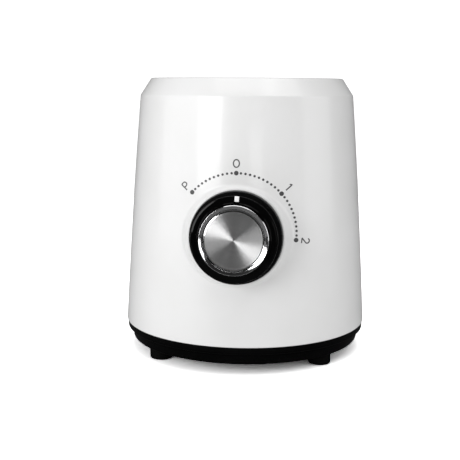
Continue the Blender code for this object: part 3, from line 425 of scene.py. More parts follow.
def bump(tree, shader, height, depth, strength=1.0):
    made = node(tree, 'ShaderNodeBump')
    made.inputs["Strength"].default_value = strength
    made.inputs["Distance"].default_value = depth
    feed(tree, height, made.inputs["Height"])
    feed(tree, made.outputs[0], shader.inputs["Normal"])


# %% [markdown]
# The plastics share one recipe. The housing is white ABS from a polished tool, so its grain is shallow and
# its gloss high. The cover is a matt black, the knob a piano black, and the well a dark grey that hides
# scuffs. The rubbed edges are a little lighter and a little smoother than the rest.

# %% Plastics
def plastic(name, colour, cloud_colour, roughness, grain_depth, gloss=0.0, grains=4000.0, **constants):
    finish, tree, shader, place = start_finish(name, roughness, **constants)
    grain, clouds, specks = use_group(tree, moulding_grain, place, grains, 40.0)
    rubbed = use_group(tree, rubbed_edges, place, 300.0)[0]
    tone = blend_colours(tree, clouds, colour, cloud_colour)
    lighter = tuple(min(1.0, value * 1.12 + 0.004) for value in colour)
    tone = blend_colours(tree, reckon(tree, 'MULTIPLY', rubbed, 0.5), tone, lighter)
    darker = tuple(value * 0.93 for value in colour)
    tone = blend_colours(tree, reckon(tree, 'MULTIPLY', specks, 0.25), tone, darker)
    feed(tree, tone, shader.inputs["Base Color"])
    uneven = spread(tree, clouds, 0.0, 1.0, roughness * 0.92, roughness * 1.08)
    feed(tree, reckon(tree, 'SUBTRACT', uneven, reckon(tree, 'MULTIPLY', rubbed, roughness * 0.2)),
         shader.inputs["Roughness"])
    if gloss:
        feed(tree, spread(tree, specks, 0.0, 1.0, gloss, gloss * 0.6), shader.inputs["Coat Weight"])
    bump(tree, shader, grain, grain_depth)
    return finish


# %% Housing white, cover black, knob black and the rest
housing_white = plastic("housing_white", (0.74, 0.74, 0.737),
    (0.755, 0.755, 0.755), 0.36, 0.000004, gloss=0.5,
                        Coat_Roughness=0.12)
pointer_white = plastic("pointer_white", (0.85, 0.85, 0.85), (0.82, 0.82, 0.82), 0.35, 0.000006)
cover_black = plastic("cover_black", (0.0012, 0.0012, 0.0013), (0.0018, 0.0018, 0.0019), 0.34, 0.00002,
                      grains=2500.0, Specular_IOR_Level=0.06)
knob_black = plastic("knob_black", (0.0012, 0.0012, 0.0013), (0.0018, 0.0018, 0.0019), 0.16, 0.000002,
                     Specular_IOR_Level=0.0, Coat_Roughness=0.06)
well_grey = plastic("well_grey", (0.035, 0.035, 0.037), (0.045, 0.045, 0.047), 0.42, 0.00002, grains=2500.0)
red_sleeve = plastic("red_sleeve", (0.45, 0.03, 0.02), (0.38, 0.025, 0.02), 0.40, 0.00001)
blue_sleeve = plastic("blue_sleeve", (0.05, 0.12, 0.40), (0.04, 0.10, 0.34), 0.40, 0.00001)
carbon_block = plastic("carbon_block", (0.020, 0.020, 0.021), (0.034, 0.034, 0.034), 0.65, 0.00006,
                       grains=1500.0)
foot_rubber = plastic("foot_rubber", (0.0018, 0.0018, 0.0019), (0.0030, 0.0030, 0.0030), 0.62, 0.00005,
                      grains=1800.0, Specular_IOR_Level=0.06)
dial_ink = plastic("dial_ink", (0.060, 0.060, 0.062), (0.080, 0.080, 0.080), 0.50, 0.00001, grains=6000.0)
print("ten plastics, from", housing_white.name, "to", dial_ink.name)


# %% [markdown]
# The metals share another recipe. Chrome is bright and nearly smooth, with faint wiping marks. Steel and
# brass are duller and carry tool rings. On the knob's cap the rings are real grooves, because they turn a
# lamp's reflection into the pair of opposite bright sectors that spun metal shows.

# %% Metals
def metal(name, colour, tarnish, roughness, ring_depth, rings=4000.0, **constants):
    finish, tree, shader, place = start_finish(name, roughness, 1.0, **constants)
    clouds = use_group(tree, moulding_grain, place, 3000.0, 90.0)[1]
    height, ring_tone = use_group(tree, tool_rings, place, rings)
    tone = blend_colours(tree, reckon(tree, 'MULTIPLY', clouds, 0.5), colour, tarnish)
    tone = blend_colours(tree, reckon(tree, 'MULTIPLY', ring_tone, 0.25), tone, tarnish)
    feed(tree, tone, shader.inputs["Base Color"])
    uneven = spread(tree, ring_tone, 0.0, 1.0, roughness * 0.85, roughness * 1.15)
    feed(tree, uneven, shader.inputs["Roughness"])
    bump(tree, shader, height, ring_depth)
    return finish


chrome = metal("chrome", (0.93, 0.93, 0.94), (0.86, 0.86, 0.88), 0.07, 0.00000005, rings=1500.0)
spun_aluminium = metal("spun_aluminium", (0.86, 0.86, 0.86),
    (0.76, 0.76, 0.765), 0.38, 0.0000006, rings=3500.0,
                       Anisotropic=0.95, Anisotropic_Rotation=0.25)
plain_steel = metal("plain_steel", (0.52, 0.52, 0.53), (0.38, 0.38, 0.39), 0.32, 0.000006)
cast_aluminium = metal("cast_aluminium", (0.62, 0.62, 0.63), (0.50, 0.50, 0.51), 0.48, 0.00003, rings=1200.0)
brush_brass = metal("brush_brass", (0.74, 0.56, 0.28), (0.52, 0.36, 0.16), 0.34, 0.000006)


# %% [markdown]
# Inside, the motor has two finishes of its own. The stack is made of thin stampings, which show as fine
# level lines. The windings are enamelled copper wire laid side by side, which shows as a fine ribbing.

# %% Stack iron and enamelled wire
def striped_metal(name, colour, gap_colour, pitch, direction, roughness, **constants):
    finish, tree, shader, place = start_finish(name, roughness, 1.0, **constants)
    stripes = node(tree, 'ShaderNodeTexWave', bands_direction=direction)
    stripes.inputs["Scale"].default_value = 1.0 / pitch / 3.2
    stripes.inputs["Distortion"].default_value = 0.6
    stripes.inputs["Detail"].default_value = 1.0
    feed(tree, place, stripes.inputs["Vector"])
    clouds = use_group(tree, moulding_grain, place, 3000.0, 120.0)[1]
    gaps = spread(tree, stripes.outputs["Fac"], 0.0, 0.45, 1.0, 0.0)
    tone = blend_colours(tree, reckon(tree, 'MULTIPLY', clouds, 0.4), colour, gap_colour)
    feed(tree, blend_colours(tree, gaps, tone, gap_colour), shader.inputs["Base Color"])
    feed(tree, spread(tree, gaps, 0.0, 1.0, roughness, roughness * 1.5), shader.inputs["Roughness"])
    bump(tree, shader, stripes.outputs["Fac"], pitch * 0.2)
    return finish


stack_iron = striped_metal("stack_iron", (0.26, 0.26, 0.27), (0.10, 0.09, 0.085), 0.0005, 'Z', 0.45)
winding_wire = striped_metal("winding_wire", (0.62, 0.24, 0.09), (0.20, 0.07, 0.03), 0.0005, 'DIAGONAL', 0.30)

finish_of_slot = {
    "gloss_white": housing_white, "satin_black": cover_black, "gloss_black": knob_black, "dark_grey": well_grey,
    "rubber": foot_rubber, "chrome": chrome, "aluminium": cast_aluminium, "steel": plain_steel,
    "stack_iron": stack_iron, "enamelled_copper": winding_wire, "brass": brush_brass, "carbon": carbon_block,
    "red_plastic": red_sleeve, "blue_plastic": blue_sleeve,
}
print(len(finish_of_slot), "slots have a finish")


# %% [markdown]
# Every piece is handed over in the same way: it gets its finish, rides on its body, and takes the place of
# the plain solid that stood there. A printed piece replaces nothing.

# %% Hand a piece over
def hand_over(piece, finish, slot, body, *stands_for):
    piece.data.materials.clear()
    piece.data.materials.append(finish)
    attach(piece, body)
    if stands_for:
        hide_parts(*stands_for)
    print(piece.name, len(piece.data.polygons), "faces")
    return piece


# %% [markdown]
# ## The housing
#
# The housing is one moulding: a side that tapers and bows very slightly, a sloping shoulder, and a thin rim
# round the well. Where the side meets the shoulder there is a clean edge, rounded only enough to let the
# plastic flow. Its lower edge is rolled a little, and that roll shows as a thin bright line above the black
# cover. The knob stands on a flat boss whose flanks melt into the curved side.

# %% Measures of the housing
_, seat_out, _, seat_high = section("jar_seat", upright)
_, cover_out, cover_low, cover_high = section("bottom_cover", upright)
housing_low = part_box("housing")[0].z
rim_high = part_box("housing")[1].z
seam_radius = (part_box("housing")[1].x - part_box("housing")[0].x) / 2.0
WALL = 2.5 * MM
CLEARANCE = 0.3 * MM
rim_radius = seat_out + CLEARANCE + WALL
shoulder_radius = 73.9 * MM
shoulder_high = 177.5 * MM
BELLY = 0.6 * MM
EDGE_ROUNDING = 2.2 * MM
seat_ledge = 180.0 * MM
print("seam radius", round(seam_radius / MM, 2), "rim radius", round(rim_radius / MM, 2), "mm")


# %% [markdown]
# The side is a formula, so that the boss and the printed scale can ask how far out it lies at any height.
# The boss is a second formula, a flat top with a falling flank. A smooth maximum of the two gives the soft
# fillet between them, which a plain Boolean union would leave as a hard line.

# %% How far out the side and the boss stand
BOSS_RISE = 2.7 * MM
BOSS_RADIUS = 30.8 * MM
BOSS_SLOPE = 3.0
BOSS_SHOULDER = 1.8 * MM
BOSS_FILLET = 5.5 * MM
FILLET_ZONE = (28.5 * MM, 34.0 * MM)


def side_radius(height):
    share = (height - housing_low) / (shoulder_high - housing_low)
    taper = seam_radius + (shoulder_radius - seam_radius) * share
    return taper + BELLY * 4.0 * share * (1.0 - share)


def soft_maximum(first, second, softness):
    share = np.clip(0.5 + 0.5 * (first - second) / softness, 0.0, 1.0)
    return second + (first - second) * share + softness * share * (1.0 - share)


def boss_rise(distance):
    """Height of the boss above the knob's foot point, at a distance from the knob's axis."""
    flank = BOSS_RISE - (distance - BOSS_RADIUS) * BOSS_SLOPE
    return -soft_maximum(-BOSS_RISE, -flank, BOSS_SHOULDER)


def fillet_width(distance):
    """The fillet opens out past the knob's foot, so that the boss stays flat under the knob."""
    share = np.clip((distance - FILLET_ZONE[0]) / (FILLET_ZONE[1] - FILLET_ZONE[0]), 0.05, 1.0)
    return BOSS_FILLET * share


def side_depth(u, v):
    """Where the plain side lies along the knob's axis, at (u, v) on the panel."""
    w = 0.0
    for _ in range(8):
        point = on_panel @ Vector((u, v, w))
        outward = Vector((point.x, point.y - BODY_Y, 0.0))
        w += (side_radius(point.z) - outward.length) / outward.normalized().dot(KNOB_OUT)
    return w


def skin(u, v, lift=0.0):
    """A point on the housing's skin in front of (u, v), raised by the lift."""
    distance = math.hypot(u, v)
    w = float(soft_maximum(side_depth(u, v), boss_rise(distance), fillet_width(distance)))
    return on_panel @ Vector((u, v, w + lift))


print("the boss stands", round(BOSS_RISE / MM, 1), "mm proud; the side falls away",
      round(-side_depth(BOSS_RADIUS, 0.0) / MM, 2), "mm at its edge")


# %% [markdown]
# The housing's mesh is a grid of columns round the body and rows along its outline. The columns and rows are
# close together round the knob, where the boss bends the surface, and wide apart elsewhere. The points
# inside the wall follow the same formula one wall deeper, so the plastic keeps an even thickness.

# %% Rows and columns of the housing
FINE_STEP = 0.55 * MM
BOSS_ZONE = 46.0 * MM


def housing_rows():
    """The outline, as (radius, height, wall depth) with the depth used to shift the boss inward."""
    knob_high = KNOB_POINT.z
    heights = list(np.linspace(housing_low + 1.6 * MM, knob_high - BOSS_ZONE, 10))
    heights += list(np.arange(knob_high - BOSS_ZONE + FINE_STEP, knob_high + BOSS_ZONE, FINE_STEP))
    heights += list(np.linspace(knob_high + BOSS_ZONE, shoulder_high - 2.4 * MM, 8))
    side = [(side_radius(height), height, 0.0) for height in heights]
    top = rounded([(side_radius(heights[-1]), heights[-1], 0.0),
                   (shoulder_radius, shoulder_high, EDGE_ROUNDING),
                   (rim_radius, rim_high - 0.4 * MM, 0.6 * MM), (rim_radius - 1.0 * MM, rim_high, 0.5 * MM),
                   (seat_out + CLEARANCE, rim_high, 0.3 * MM), (seat_out + CLEARANCE, seat_ledge, 0.0),
                   (seat_out - 4.0 * MM, seat_ledge, 0.0), (seat_out - 4.0 * MM, shoulder_high, 0.0),
                   (side_radius(shoulder_high) - WALL * 2.2, shoulder_high, 2.0 * MM)])
    roll = rounded([(side_radius(housing_low) - WALL, heights[0], 0.0),
                    (seam_radius - WALL, housing_low, 0.4 * MM),
                    (seam_radius, housing_low, 0.7 * MM), (side_radius(heights[0]), heights[0], 0.0)])
    inner = [(side_radius(height) - WALL, height, WALL) for height in reversed(heights[::3])]
    return side + [(r, z, 0.0) for r, z in top[1:]] + inner + [(r, z, 0.0) for r, z in roll[1:-1]]


def housing_columns():
    """Angles from the front, close together across the boss."""
    half = math.asin(BOSS_ZONE / side_radius(KNOB_POINT.z))
    fine = int(2.0 * half * side_radius(KNOB_POINT.z) / FINE_STEP)
    front = np.linspace(-half, half, fine, endpoint=False)
    back = np.linspace(half, 2.0 * math.pi - half, 150, endpoint=False)
    return np.concatenate([front, back])


rows = np.array(housing_rows())
columns = housing_columns()
print(len(columns), "columns by", len(rows), "rows")


# %% Build the housing's skin
def bend_over_boss(points, depth):
    """Push points that lie in front of the knob's panel out on to the boss."""
    inverse = np.array(on_panel.inverted())
    local = points @ inverse[:3, :3].T + inverse[:3, 3]
    distance = np.hypot(local[:, 0], local[:, 1])
    near = (distance < BOSS_ZONE) & (local[:, 2] > -BOSS_ZONE)
    raised = soft_maximum(local[:, 2], boss_rise(distance) - depth, fillet_width(distance))
    local[near, 2] = raised[near]
    placed = np.array(on_panel)
    return local @ placed[:3, :3].T + placed[:3, 3]


def build_housing():
    angle, radius = np.meshgrid(columns, rows[:, 0], indexing="ij")
    height = np.broadcast_to(rows[:, 1], radius.shape)
    depth = np.broadcast_to(rows[:, 2], radius.shape).ravel()
    points = np.stack([radius * np.sin(angle), BODY_Y - radius * np.cos(angle), height], axis=-1).reshape(-1, 3)
    on_side = np.broadcast_to(rows[:, 1] < shoulder_high - 3.0 * MM, radius.shape).ravel()
    points[on_side] = bend_over_boss(points[on_side], depth[on_side])
    faces = grid_faces(len(columns), len(rows), True)
    return surface_object("base_housing", points, faces, Matrix.Identity(4))


housing = build_housing()
bush_hole = turned("bush_hole", [(0.0, 12 * MM, 0.0), (5.1 * MM, 12 * MM, 0.0), (5.1 * MM, -12 * MM, 0.0),
                                 (0.0, -12 * MM, 0.0)], on_panel, 48)
cut(housing, bush_hole)

# %% [markdown]
# Four screw posts hang inside the housing. They can be seen only through the vents, so they are plain tubes
# with a web to the wall, and they are joined to the housing's mesh.

# %% Screw posts of the housing
SCREW_ANGLES = (20.0, 160.0, 200.0, 340.0)
POST_RADIUS = 5.0 * MM
screw_point = (Vector(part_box("cover_screw_1")[0]) + Vector(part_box("cover_screw_1")[1])) / 2.0
screw_circle = math.hypot(screw_point.x, screw_point.y - BODY_Y)
posts = []
for angle in SCREW_ANGLES:
    tube = [(POST_RADIUS, 45 * MM, 0.4 * MM), (POST_RADIUS, 20.4 * MM, 0.3 * MM),
            (2.0 * MM, 20.4 * MM, 0.2 * MM),
            (2.0 * MM, 45 * MM, 0.2 * MM)]
    posts.append(turned("post", tube, around(screw_circle, angle, 0.0), 32))
    web = around(screw_circle + 6.5 * MM, angle, 34.0 * MM)
    posts.append(rounded_box("web", (1.9 * MM, 1.0 * MM, 9.0 * MM), web, 0.3 * MM))
join(housing, *posts)
hand_over(housing, housing_white, "gloss_white", "base", "housing")

# %% [markdown]
# ## The bottom cover
#
# The black cover is a shallow tray in two steps. The upper band lies flush under the housing and the lower
# one is set in, which makes the machine look lighter on its feet. Sixteen round-ended vents let the fan
# draw air, and four deep recesses take the screws. The vents are cut with a flared cutter, so that their
# edges are chamfered like moulded ones.

# %% Turn the tray
step_high = 14.9 * MM
tray_foot = 80.2 * MM
tray_step = 81.6 * MM
TRAY_WALL = 2.6 * MM
TRAY_FLOOR = 2.8 * MM
tray_high = cover_high
tray_outline = [
    (0.0, cover_low + TRAY_FLOOR, 0.0), (tray_foot - TRAY_WALL, cover_low + TRAY_FLOOR, 1.0 * MM),
    (tray_step - TRAY_WALL, step_high, 0.5 * MM), (cover_out - TRAY_WALL, step_high + 0.8 * MM, 0.5 * MM),
    (cover_out - TRAY_WALL, tray_high, 0.2 * MM), (cover_out, tray_high, 0.3 * MM),
    (cover_out - 0.4 * MM, step_high, 0.7 * MM), (tray_step, step_high, 0.4 * MM),
    (tray_foot, cover_low, 1.3 * MM), (76.2 * MM, cover_low, 0.2 * MM),
    (75.9 * MM, cover_low + 0.4 * MM, 0.2 * MM),
    (62.9 * MM, cover_low + 0.4 * MM, 0.2 * MM), (62.6 * MM, cover_low, 0.2 * MM),
    (52.9 * MM, cover_low, 0.2 * MM), (52.6 * MM, cover_low + 0.5 * MM, 0.2 * MM),
    (27.4 * MM, cover_low + 0.5 * MM, 0.2 * MM), (27.1 * MM, cover_low, 0.2 * MM), (0.0, cover_low, 0.0)]
tray = turned("base_cover", tray_outline, upright, 192)

# %% Add screw posts, then cut vents, screw recesses and the cord's hole
VENT_COUNT = 16
cutters = []
for i in range(VENT_COUNT):
    layers = [(-1.0 * MM, 1.0 * MM), (0.5 * MM, 0.55 * MM), (1.1 * MM, 0.0), (4.0 * MM, 0.0)]
    vent = around(40.0 * MM, 360.0 * (i + 0.5) / VENT_COUNT, cover_low)
    cutters.append(prism("vent", round_ended(22.0 * MM, 3.5 * MM), layers, vent))
for angle in SCREW_ANGLES:
    stepped = [(0.0, 21 * MM, 0.0), (2.0 * MM, 21 * MM, 0.0), (2.0 * MM, 12.2 * MM, 0.0),
               (3.9 * MM, 12.2 * MM, 0.0),
               (3.9 * MM, cover_low + 0.5 * MM, 0.0), (4.6 * MM, cover_low - 0.4 * MM, 0.0),
               (0.0, cover_low - 0.4 * MM, 0.0)]
    cutters.append(turned("screw_hole", stepped, around(screw_circle, angle, 0.0), 32))
gland_high = (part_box("cord_gland")[0].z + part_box("cord_gland")[1].z) / 2.0
at_gland = upright @ Matrix.Translation((0.0, 0.0, gland_high)) @ Matrix.Rotation(math.radians(-90.0), 4, 'X')
cord_hole = [(0.0, 95 * MM, 0.0), (4.9 * MM, 95 * MM, 0.0), (4.9 * MM, 70 * MM, 0.0), (0.0, 70 * MM, 0.0)]
cutters.append(turned("cord_hole", cord_hole, at_gland, 48))
for angle in SCREW_ANGLES:
    boss = [(POST_RADIUS, 19.0 * MM, 0.3 * MM), (POST_RADIUS, cover_low + 1.5 * MM, 0.0),
            (0.0, cover_low + 1.5 * MM, 0.0),
            (0.0, 19.0 * MM, 0.0)]
    post = turned("cover_post", boss[2:] + boss[:2], around(screw_circle, angle, 0.0), 48)
    union = tray.modifiers.new("post", 'BOOLEAN')
    union.operation = 'UNION'
    union.solver = 'EXACT'
    union.object = post
    apply_modifiers(tray)
    bpy.data.objects.remove(post, do_unlink=True)
cut(tray, *cutters)
hand_over(tray, cover_black, "satin_black", "base", "bottom_cover")

# %% [markdown]
# ## Feet, screws and cord bush
#
# The feet are soft rubber plugs pushed through the tray. Their soles have shallow rings that grip the
# worktop. The screws sit deep in their recesses and have a cross slot. The bush at the back guides the cord,
# and its flange and bore are well rounded, so that the cord can bend without being cut.

# %% Feet
foot_nodes = sorted(name for name in frame["nodes"] if name.startswith("foot_"))
for name in foot_nodes:
    low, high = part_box(name)
    radius = (high.x - low.x) / 2.0
    sole = [(0.0, high.z, 0.0), (3.0 * MM, high.z, 0.4 * MM), (4.4 * MM, high.z - 1.8 * MM, 0.2 * MM),
            (3.0 * MM, high.z - 1.8 * MM, 0.1 * MM), (3.0 * MM, cover_low - 0.3 * MM, 0.1 * MM),
            (radius, cover_low - 0.3 * MM, 0.5 * MM), (radius - 0.2 * MM, 0.0, 1.1 * MM)]
    for ring in (5.2 * MM, 3.6 * MM, 2.0 * MM):
        sole += [(ring + 0.5 * MM, 0.0, 0.1 * MM), (ring + 0.3 * MM, 0.4 * MM, 0.1 * MM),
                 (ring - 0.3 * MM, 0.4 * MM, 0.1 * MM), (ring - 0.5 * MM, 0.0, 0.1 * MM)]
    sole.append((0.0, 0.0, 0.0))
    centre = (low + high) / 2.0
    foot = turned("rubber_" + name, sole, Matrix.Translation((centre.x, centre.y, 0.0)), 64)
    hand_over(foot, foot_rubber, "rubber", "base", name)


# %% Cover screws with a cross slot
def cross_slot(placement, size, depth):
    arms = []
    for turn in (0.0, 90.0):
        spin = placement @ Matrix.Rotation(math.radians(turn), 4, 'Z')
        layers = [(-depth, 0.35 * size), (depth * 0.5, 0.0)]
        arms.append(prism("arm", round_ended(size, size * 0.28), layers, spin))
    return arms


for name in sorted(node_name for node_name in frame["nodes"] if node_name.startswith("cover_screw_")):
    low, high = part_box(name)
    centre = (low + high) / 2.0
    head = 3.6 * MM
    shank = 1.7 * MM
    outline = [(0.0, high.z, 0.0), (0.7 * MM, high.z, 0.0), (shank, high.z - 2.4 * MM, 0.3 * MM)]
    threads = int((high.z - low.z - 9.0 * MM) / (1.0 * MM))
    for i in range(threads):
        top = high.z - 2.6 * MM - i * 1.0 * MM
        outline += [(shank, top, 0.0), (shank - 0.35 * MM, top - 0.5 * MM, 0.0)]
    outline += [(shank, low.z + 2.2 * MM, 0.0), (head, low.z + 2.2 * MM, 0.3 * MM),
                (head, low.z + 1.2 * MM, 0.5 * MM),
                (head * 0.62, low.z, 1.0 * MM), (0.0, low.z, 0.0)]
    placement = Matrix.Translation((centre.x, centre.y, 0.0))
    screw = turned("cross_" + name, outline, placement, 32)
    cut(screw, *cross_slot(placement @ Matrix.Translation((0.0, 0.0, low.z)), 3.6 * MM, 1.4 * MM))
    hand_over(screw, plain_steel, "steel", "base", name)

# %% Cord bush
gland_in, gland_flange, gland_near, gland_far = section("cord_gland", at_gland)
bush_outline = [(gland_flange, gland_far, 0.9 * MM), (gland_flange, cover_out + CLEARANCE, 0.2 * MM),
                (4.6 * MM, cover_out + CLEARANCE, 0.1 * MM), (4.6 * MM, gland_near, 0.4 * MM),
                (gland_in, gland_near, 0.3 * MM), (gland_in, gland_far, 0.8 * MM)]
bush = turned("cord_bush", bush_outline, at_gland, 64)
hand_over(bush, foot_rubber, "rubber", "base", "cord_gland")

# %% [markdown]
# ## The well in the top
#
# The jar's collar drops into a dark grey well. Its flange closes the gap to the housing's rim, four lugs
# lock the jar, and an upstand round the drive shaft keeps spills away from the motor. A shallow groove in
# the floor collects drips.

# %% Turn the well
seat_floor = 165.0 * MM
well_wall = seat_out - 3.2 * MM
well_in = well_wall - 2.5 * MM
well_outline = [
    (seat_out, seat_high, 0.9 * MM), (seat_out, seat_ledge + CLEARANCE, 0.3 * MM),
    (well_wall, seat_ledge + CLEARANCE, 0.3 * MM), (well_wall - 1.0 * MM, seat_floor - 2.5 * MM, 1.5 * MM),
    (8.0 * MM, seat_floor - 2.5 * MM, 0.3 * MM), (8.0 * MM, seat_floor + 4.0 * MM, 0.4 * MM),
    (10.5 * MM, seat_floor + 4.0 * MM, 0.8 * MM), (10.8 * MM, seat_floor, 1.0 * MM),
    (52.0 * MM, seat_floor, 0.5 * MM), (52.8 * MM, seat_floor - 0.7 * MM, 0.4 * MM),
    (55.2 * MM, seat_floor - 0.7 * MM, 0.4 * MM), (56.0 * MM, seat_floor, 0.4 * MM),
    (well_in - 1.0 * MM, seat_floor, 0.8 * MM), (well_in, seat_high - 1.2 * MM, 0.4 * MM),
    (well_in + 1.0 * MM, seat_high, 0.7 * MM)]
well = turned("jar_well", well_outline, upright, 160)
pin_low, pin_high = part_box("interlock_pin")
pin_at = Matrix.Translation(((pin_low.x + pin_high.x) / 2.0, (pin_low.y + pin_high.y) / 2.0, 0.0))
pin_hole = [(0.0, seat_floor + 4 * MM, 0.0), (3.9 * MM, seat_floor + 4 * MM, 0.0),
            (3.9 * MM, seat_floor, 0.0),
            (3.3 * MM, seat_floor - 0.5 * MM, 0.0), (3.3 * MM, seat_floor - 6 * MM, 0.0),
            (0.0, seat_floor - 6 * MM, 0.0)]
cut(well, turned("pin_hole", pin_hole, pin_at, 48))
LUG_ANGLES = (45.0, 135.0, 225.0, 315.0)
lug_half = (2.2 * MM, 4.0 * MM, 3.0 * MM)
lugs = [rounded_box("lug", lug_half, around(well_in + 0.1 * MM, angle, 175.0 * MM), 0.7 * MM)
        for angle in LUG_ANGLES]
tube = [(POST_RADIUS, seat_floor - 1.0 * MM, 0.0), (POST_RADIUS, 141.3 * MM, 0.4 * MM),
        (2.0 * MM, 141.3 * MM, 0.2 * MM),
        (2.0 * MM, 158.0 * MM, 0.0)]
posts = [turned("post", tube, around(34.0 * MM, angle, 0.0), 32) for angle in (30.0, 150.0, 270.0)]
join(well, *lugs, *posts)
hand_over(well, well_grey, "dark_grey", "base", "jar_seat")

# %% [markdown]
# The toothed coupling turns the jar's blades. Each tooth is a wide trapezium with its tip and top edges
# broken, so that the jar's socket finds its way on. The teeth are one outline, repeated by a loop, and the
# top is dished so that water runs off.

# %% Drive coupling
TEETH = 10


def toothed(outer, inner, share, tip):
    points = []
    pitch = 2.0 * math.pi / TEETH
    for tooth in range(TEETH):
        middle = tooth * pitch
        half = pitch * share / 2.0
        stops = ((inner, -half), (outer - 0.5 * MM, -half * tip * 1.18), (outer, -half * tip * 0.8),
                 (outer, half * tip * 0.8), (outer - 0.5 * MM, half * tip * 1.18), (inner, half))
        points += [(r * math.cos(middle + turn), r * math.sin(middle + turn)) for r, turn in stops]
    return points


_, drive_out, drive_low, drive_high = section("drive_coupling", upright)
teeth_low = 173.0 * MM
teeth_layers = [(teeth_low, 0.0), (drive_high - 0.8 * MM, 0.0), (drive_high - 0.25 * MM, -0.3 * MM),
                (drive_high, -0.9 * MM)]
coupling = prism("jar_coupling", toothed(13.2 * MM, 10.8 * MM, 0.62, 0.62), teeth_layers, upright)
dish = [(0.0, drive_high + MM, 0.0), (7.6 * MM, drive_high + MM, 0.0),
        (7.2 * MM, drive_high - 1.2 * MM, 0.5 * MM),
        (3.4 * MM, drive_high - 1.2 * MM, 0.3 * MM), (3.0 * MM, drive_high - 0.5 * MM, 0.2 * MM),
        (0.0, drive_high - 0.5 * MM, 0.0)]
cut(coupling, turned("dish", dish, upright, 64))
skirt = [(drive_out, teeth_low + 0.4 * MM, 0.5 * MM), (drive_out, drive_low, 0.5 * MM),
         (4.3 * MM, drive_low, 0.2 * MM),
         (4.3 * MM, teeth_low + 0.4 * MM, 0.0)]
join(coupling, turned("skirt", skirt, upright, 96))
hand_over(coupling, cover_black, "satin_black", "rotor", "drive_coupling")

# %% [markdown]
# A small white pin stands in the well's floor. The seated jar pushes it down on to a switch, so the motor
# cannot run without the jar. Its tip is domed, and its collar stops it from coming out.

# %% Interlock pin
pin_radius = 3.0 * MM
collar_high = seat_floor - 2.8 * MM
pin_outline = [(0.0, pin_high.z, 0.0), (pin_radius * 0.75, pin_high.z, 0.9 * MM),
               (pin_radius, pin_high.z - 0.9 * MM, 0.6 * MM),
               (pin_radius, collar_high, 0.1 * MM), (4.8 * MM, collar_high, 0.3 * MM),
               (4.8 * MM, collar_high - 2.0 * MM, 0.3 * MM), (1.8 * MM, collar_high - 2.0 * MM, 0.2 * MM),
               (1.8 * MM, pin_low.z, 0.3 * MM), (0.0, pin_low.z, 0.0)]
pin = turned("jar_pin", pin_outline, pin_at, 48)
hand_over(pin, pointer_white, "gloss_white", "pin", "interlock_pin")

# %% [markdown]
# ## The knob
#
# The knob is a glossy black cap. Its skirt narrows toward the front, and the front edge is just rounded
# enough to draw a thin bright line. Inside that lies a flat ring, then a step that holds the chrome ring.
# A white pointer is let into the front and a slot runs on from it to the chrome, a little wider there.

# %% Turn the knob and cut the pointer's slot
_, knob_foot_radius, knob_foot, knob_lip = section("knob", on_panel)
ring_in, ring_out, ring_foot, ring_front = section("knob_ring", on_panel)
_, disc_out, disc_foot, disc_front = section("knob_disc", on_panel)
knob_front = knob_lip - 0.3 * MM
front_radius = 26.8 * MM
recess = ring_foot - CLEARANCE
knob_under = recess - 1.6 * MM
knob_outline = [
    (0.0, recess, 0.0), (ring_out + CLEARANCE, recess, 0.1 * MM), (ring_out + CLEARANCE, knob_lip, 0.12 * MM),
    (ring_out + 1.0 * MM, knob_lip, 0.15 * MM), (ring_out + 1.35 * MM, knob_front, 0.15 * MM),
    (25.6 * MM, knob_front, 0.3 * MM), (front_radius - 0.1 * MM, knob_front - 0.25 * MM, 0.40 * MM),
    (knob_foot_radius, knob_foot, 0.5 * MM), (knob_foot_radius - 2.2 * MM, knob_foot, 0.3 * MM),
    (front_radius - 2.4 * MM, knob_under, 1.0 * MM), (6.5 * MM, knob_under, 0.6 * MM),
    (6.5 * MM, 7.8 * MM, 0.3 * MM), (3.2 * MM, 7.8 * MM, 0.2 * MM), (3.2 * MM, knob_under, 0.0),
    (0.0, knob_under, 0.0)]
knob = turned("control_knob", knob_outline, on_panel, 256)
SLOT_DEPTH = 1.4 * MM
pointer_half = 1.4 * MM
POINTER_TURN = math.radians(-3.4)
at_pointer = on_panel @ Matrix.Rotation(POINTER_TURN, 4, 'Z')
slot_shape = [(-pointer_half, 31 * MM), (-pointer_half, 23.4 * MM), (-1.8 * MM, ring_out + 0.7 * MM),
              (1.8 * MM, ring_out + 0.7 * MM), (pointer_half, 23.4 * MM), (pointer_half, 31 * MM)]
slot_layers = [(knob_front - SLOT_DEPTH, 0.0), (knob_front + 2.0 * MM, 0.0)]
cut(knob, prism("slot", slot_shape, slot_layers, at_pointer))
hand_over(knob, knob_black, "gloss_black", "control", "knob")

# %% [markdown]
# A hand wears the knob where the fingers grip it, so its gloss is uneven: high on the front and where the
# skirt meets the housing, and dull in between. A mask along the piece's own Z sets the weight of its clear
# gloss.

# %% Gloss of the knob along its height
def gloss_along_knob(finish, front_gloss=0.3, foot_gloss=0.8, grip_gloss=0.01):
    tree = finish.node_tree
    parts = node(tree, 'ShaderNodeSeparateXYZ')
    feed(tree, node(tree, 'ShaderNodeTexCoord').outputs["Object"], parts.inputs[0])
    height = parts.outputs[2]
    at_foot = spread(tree, height, knob_foot, knob_foot + 5.0 * MM, foot_gloss, grip_gloss)
    at_front = spread(tree, height, knob_front - 1.1 * MM, knob_front - 0.7 * MM, 0.0, front_gloss)
    feed(tree, reckon(tree, 'MAXIMUM', at_foot, at_front), tree.nodes["Principled BSDF"].inputs["Coat Weight"])


gloss_along_knob(knob_black)
print("knob gloss set from", round(knob_foot / MM, 1), "to", round(knob_front / MM, 1), "mm")

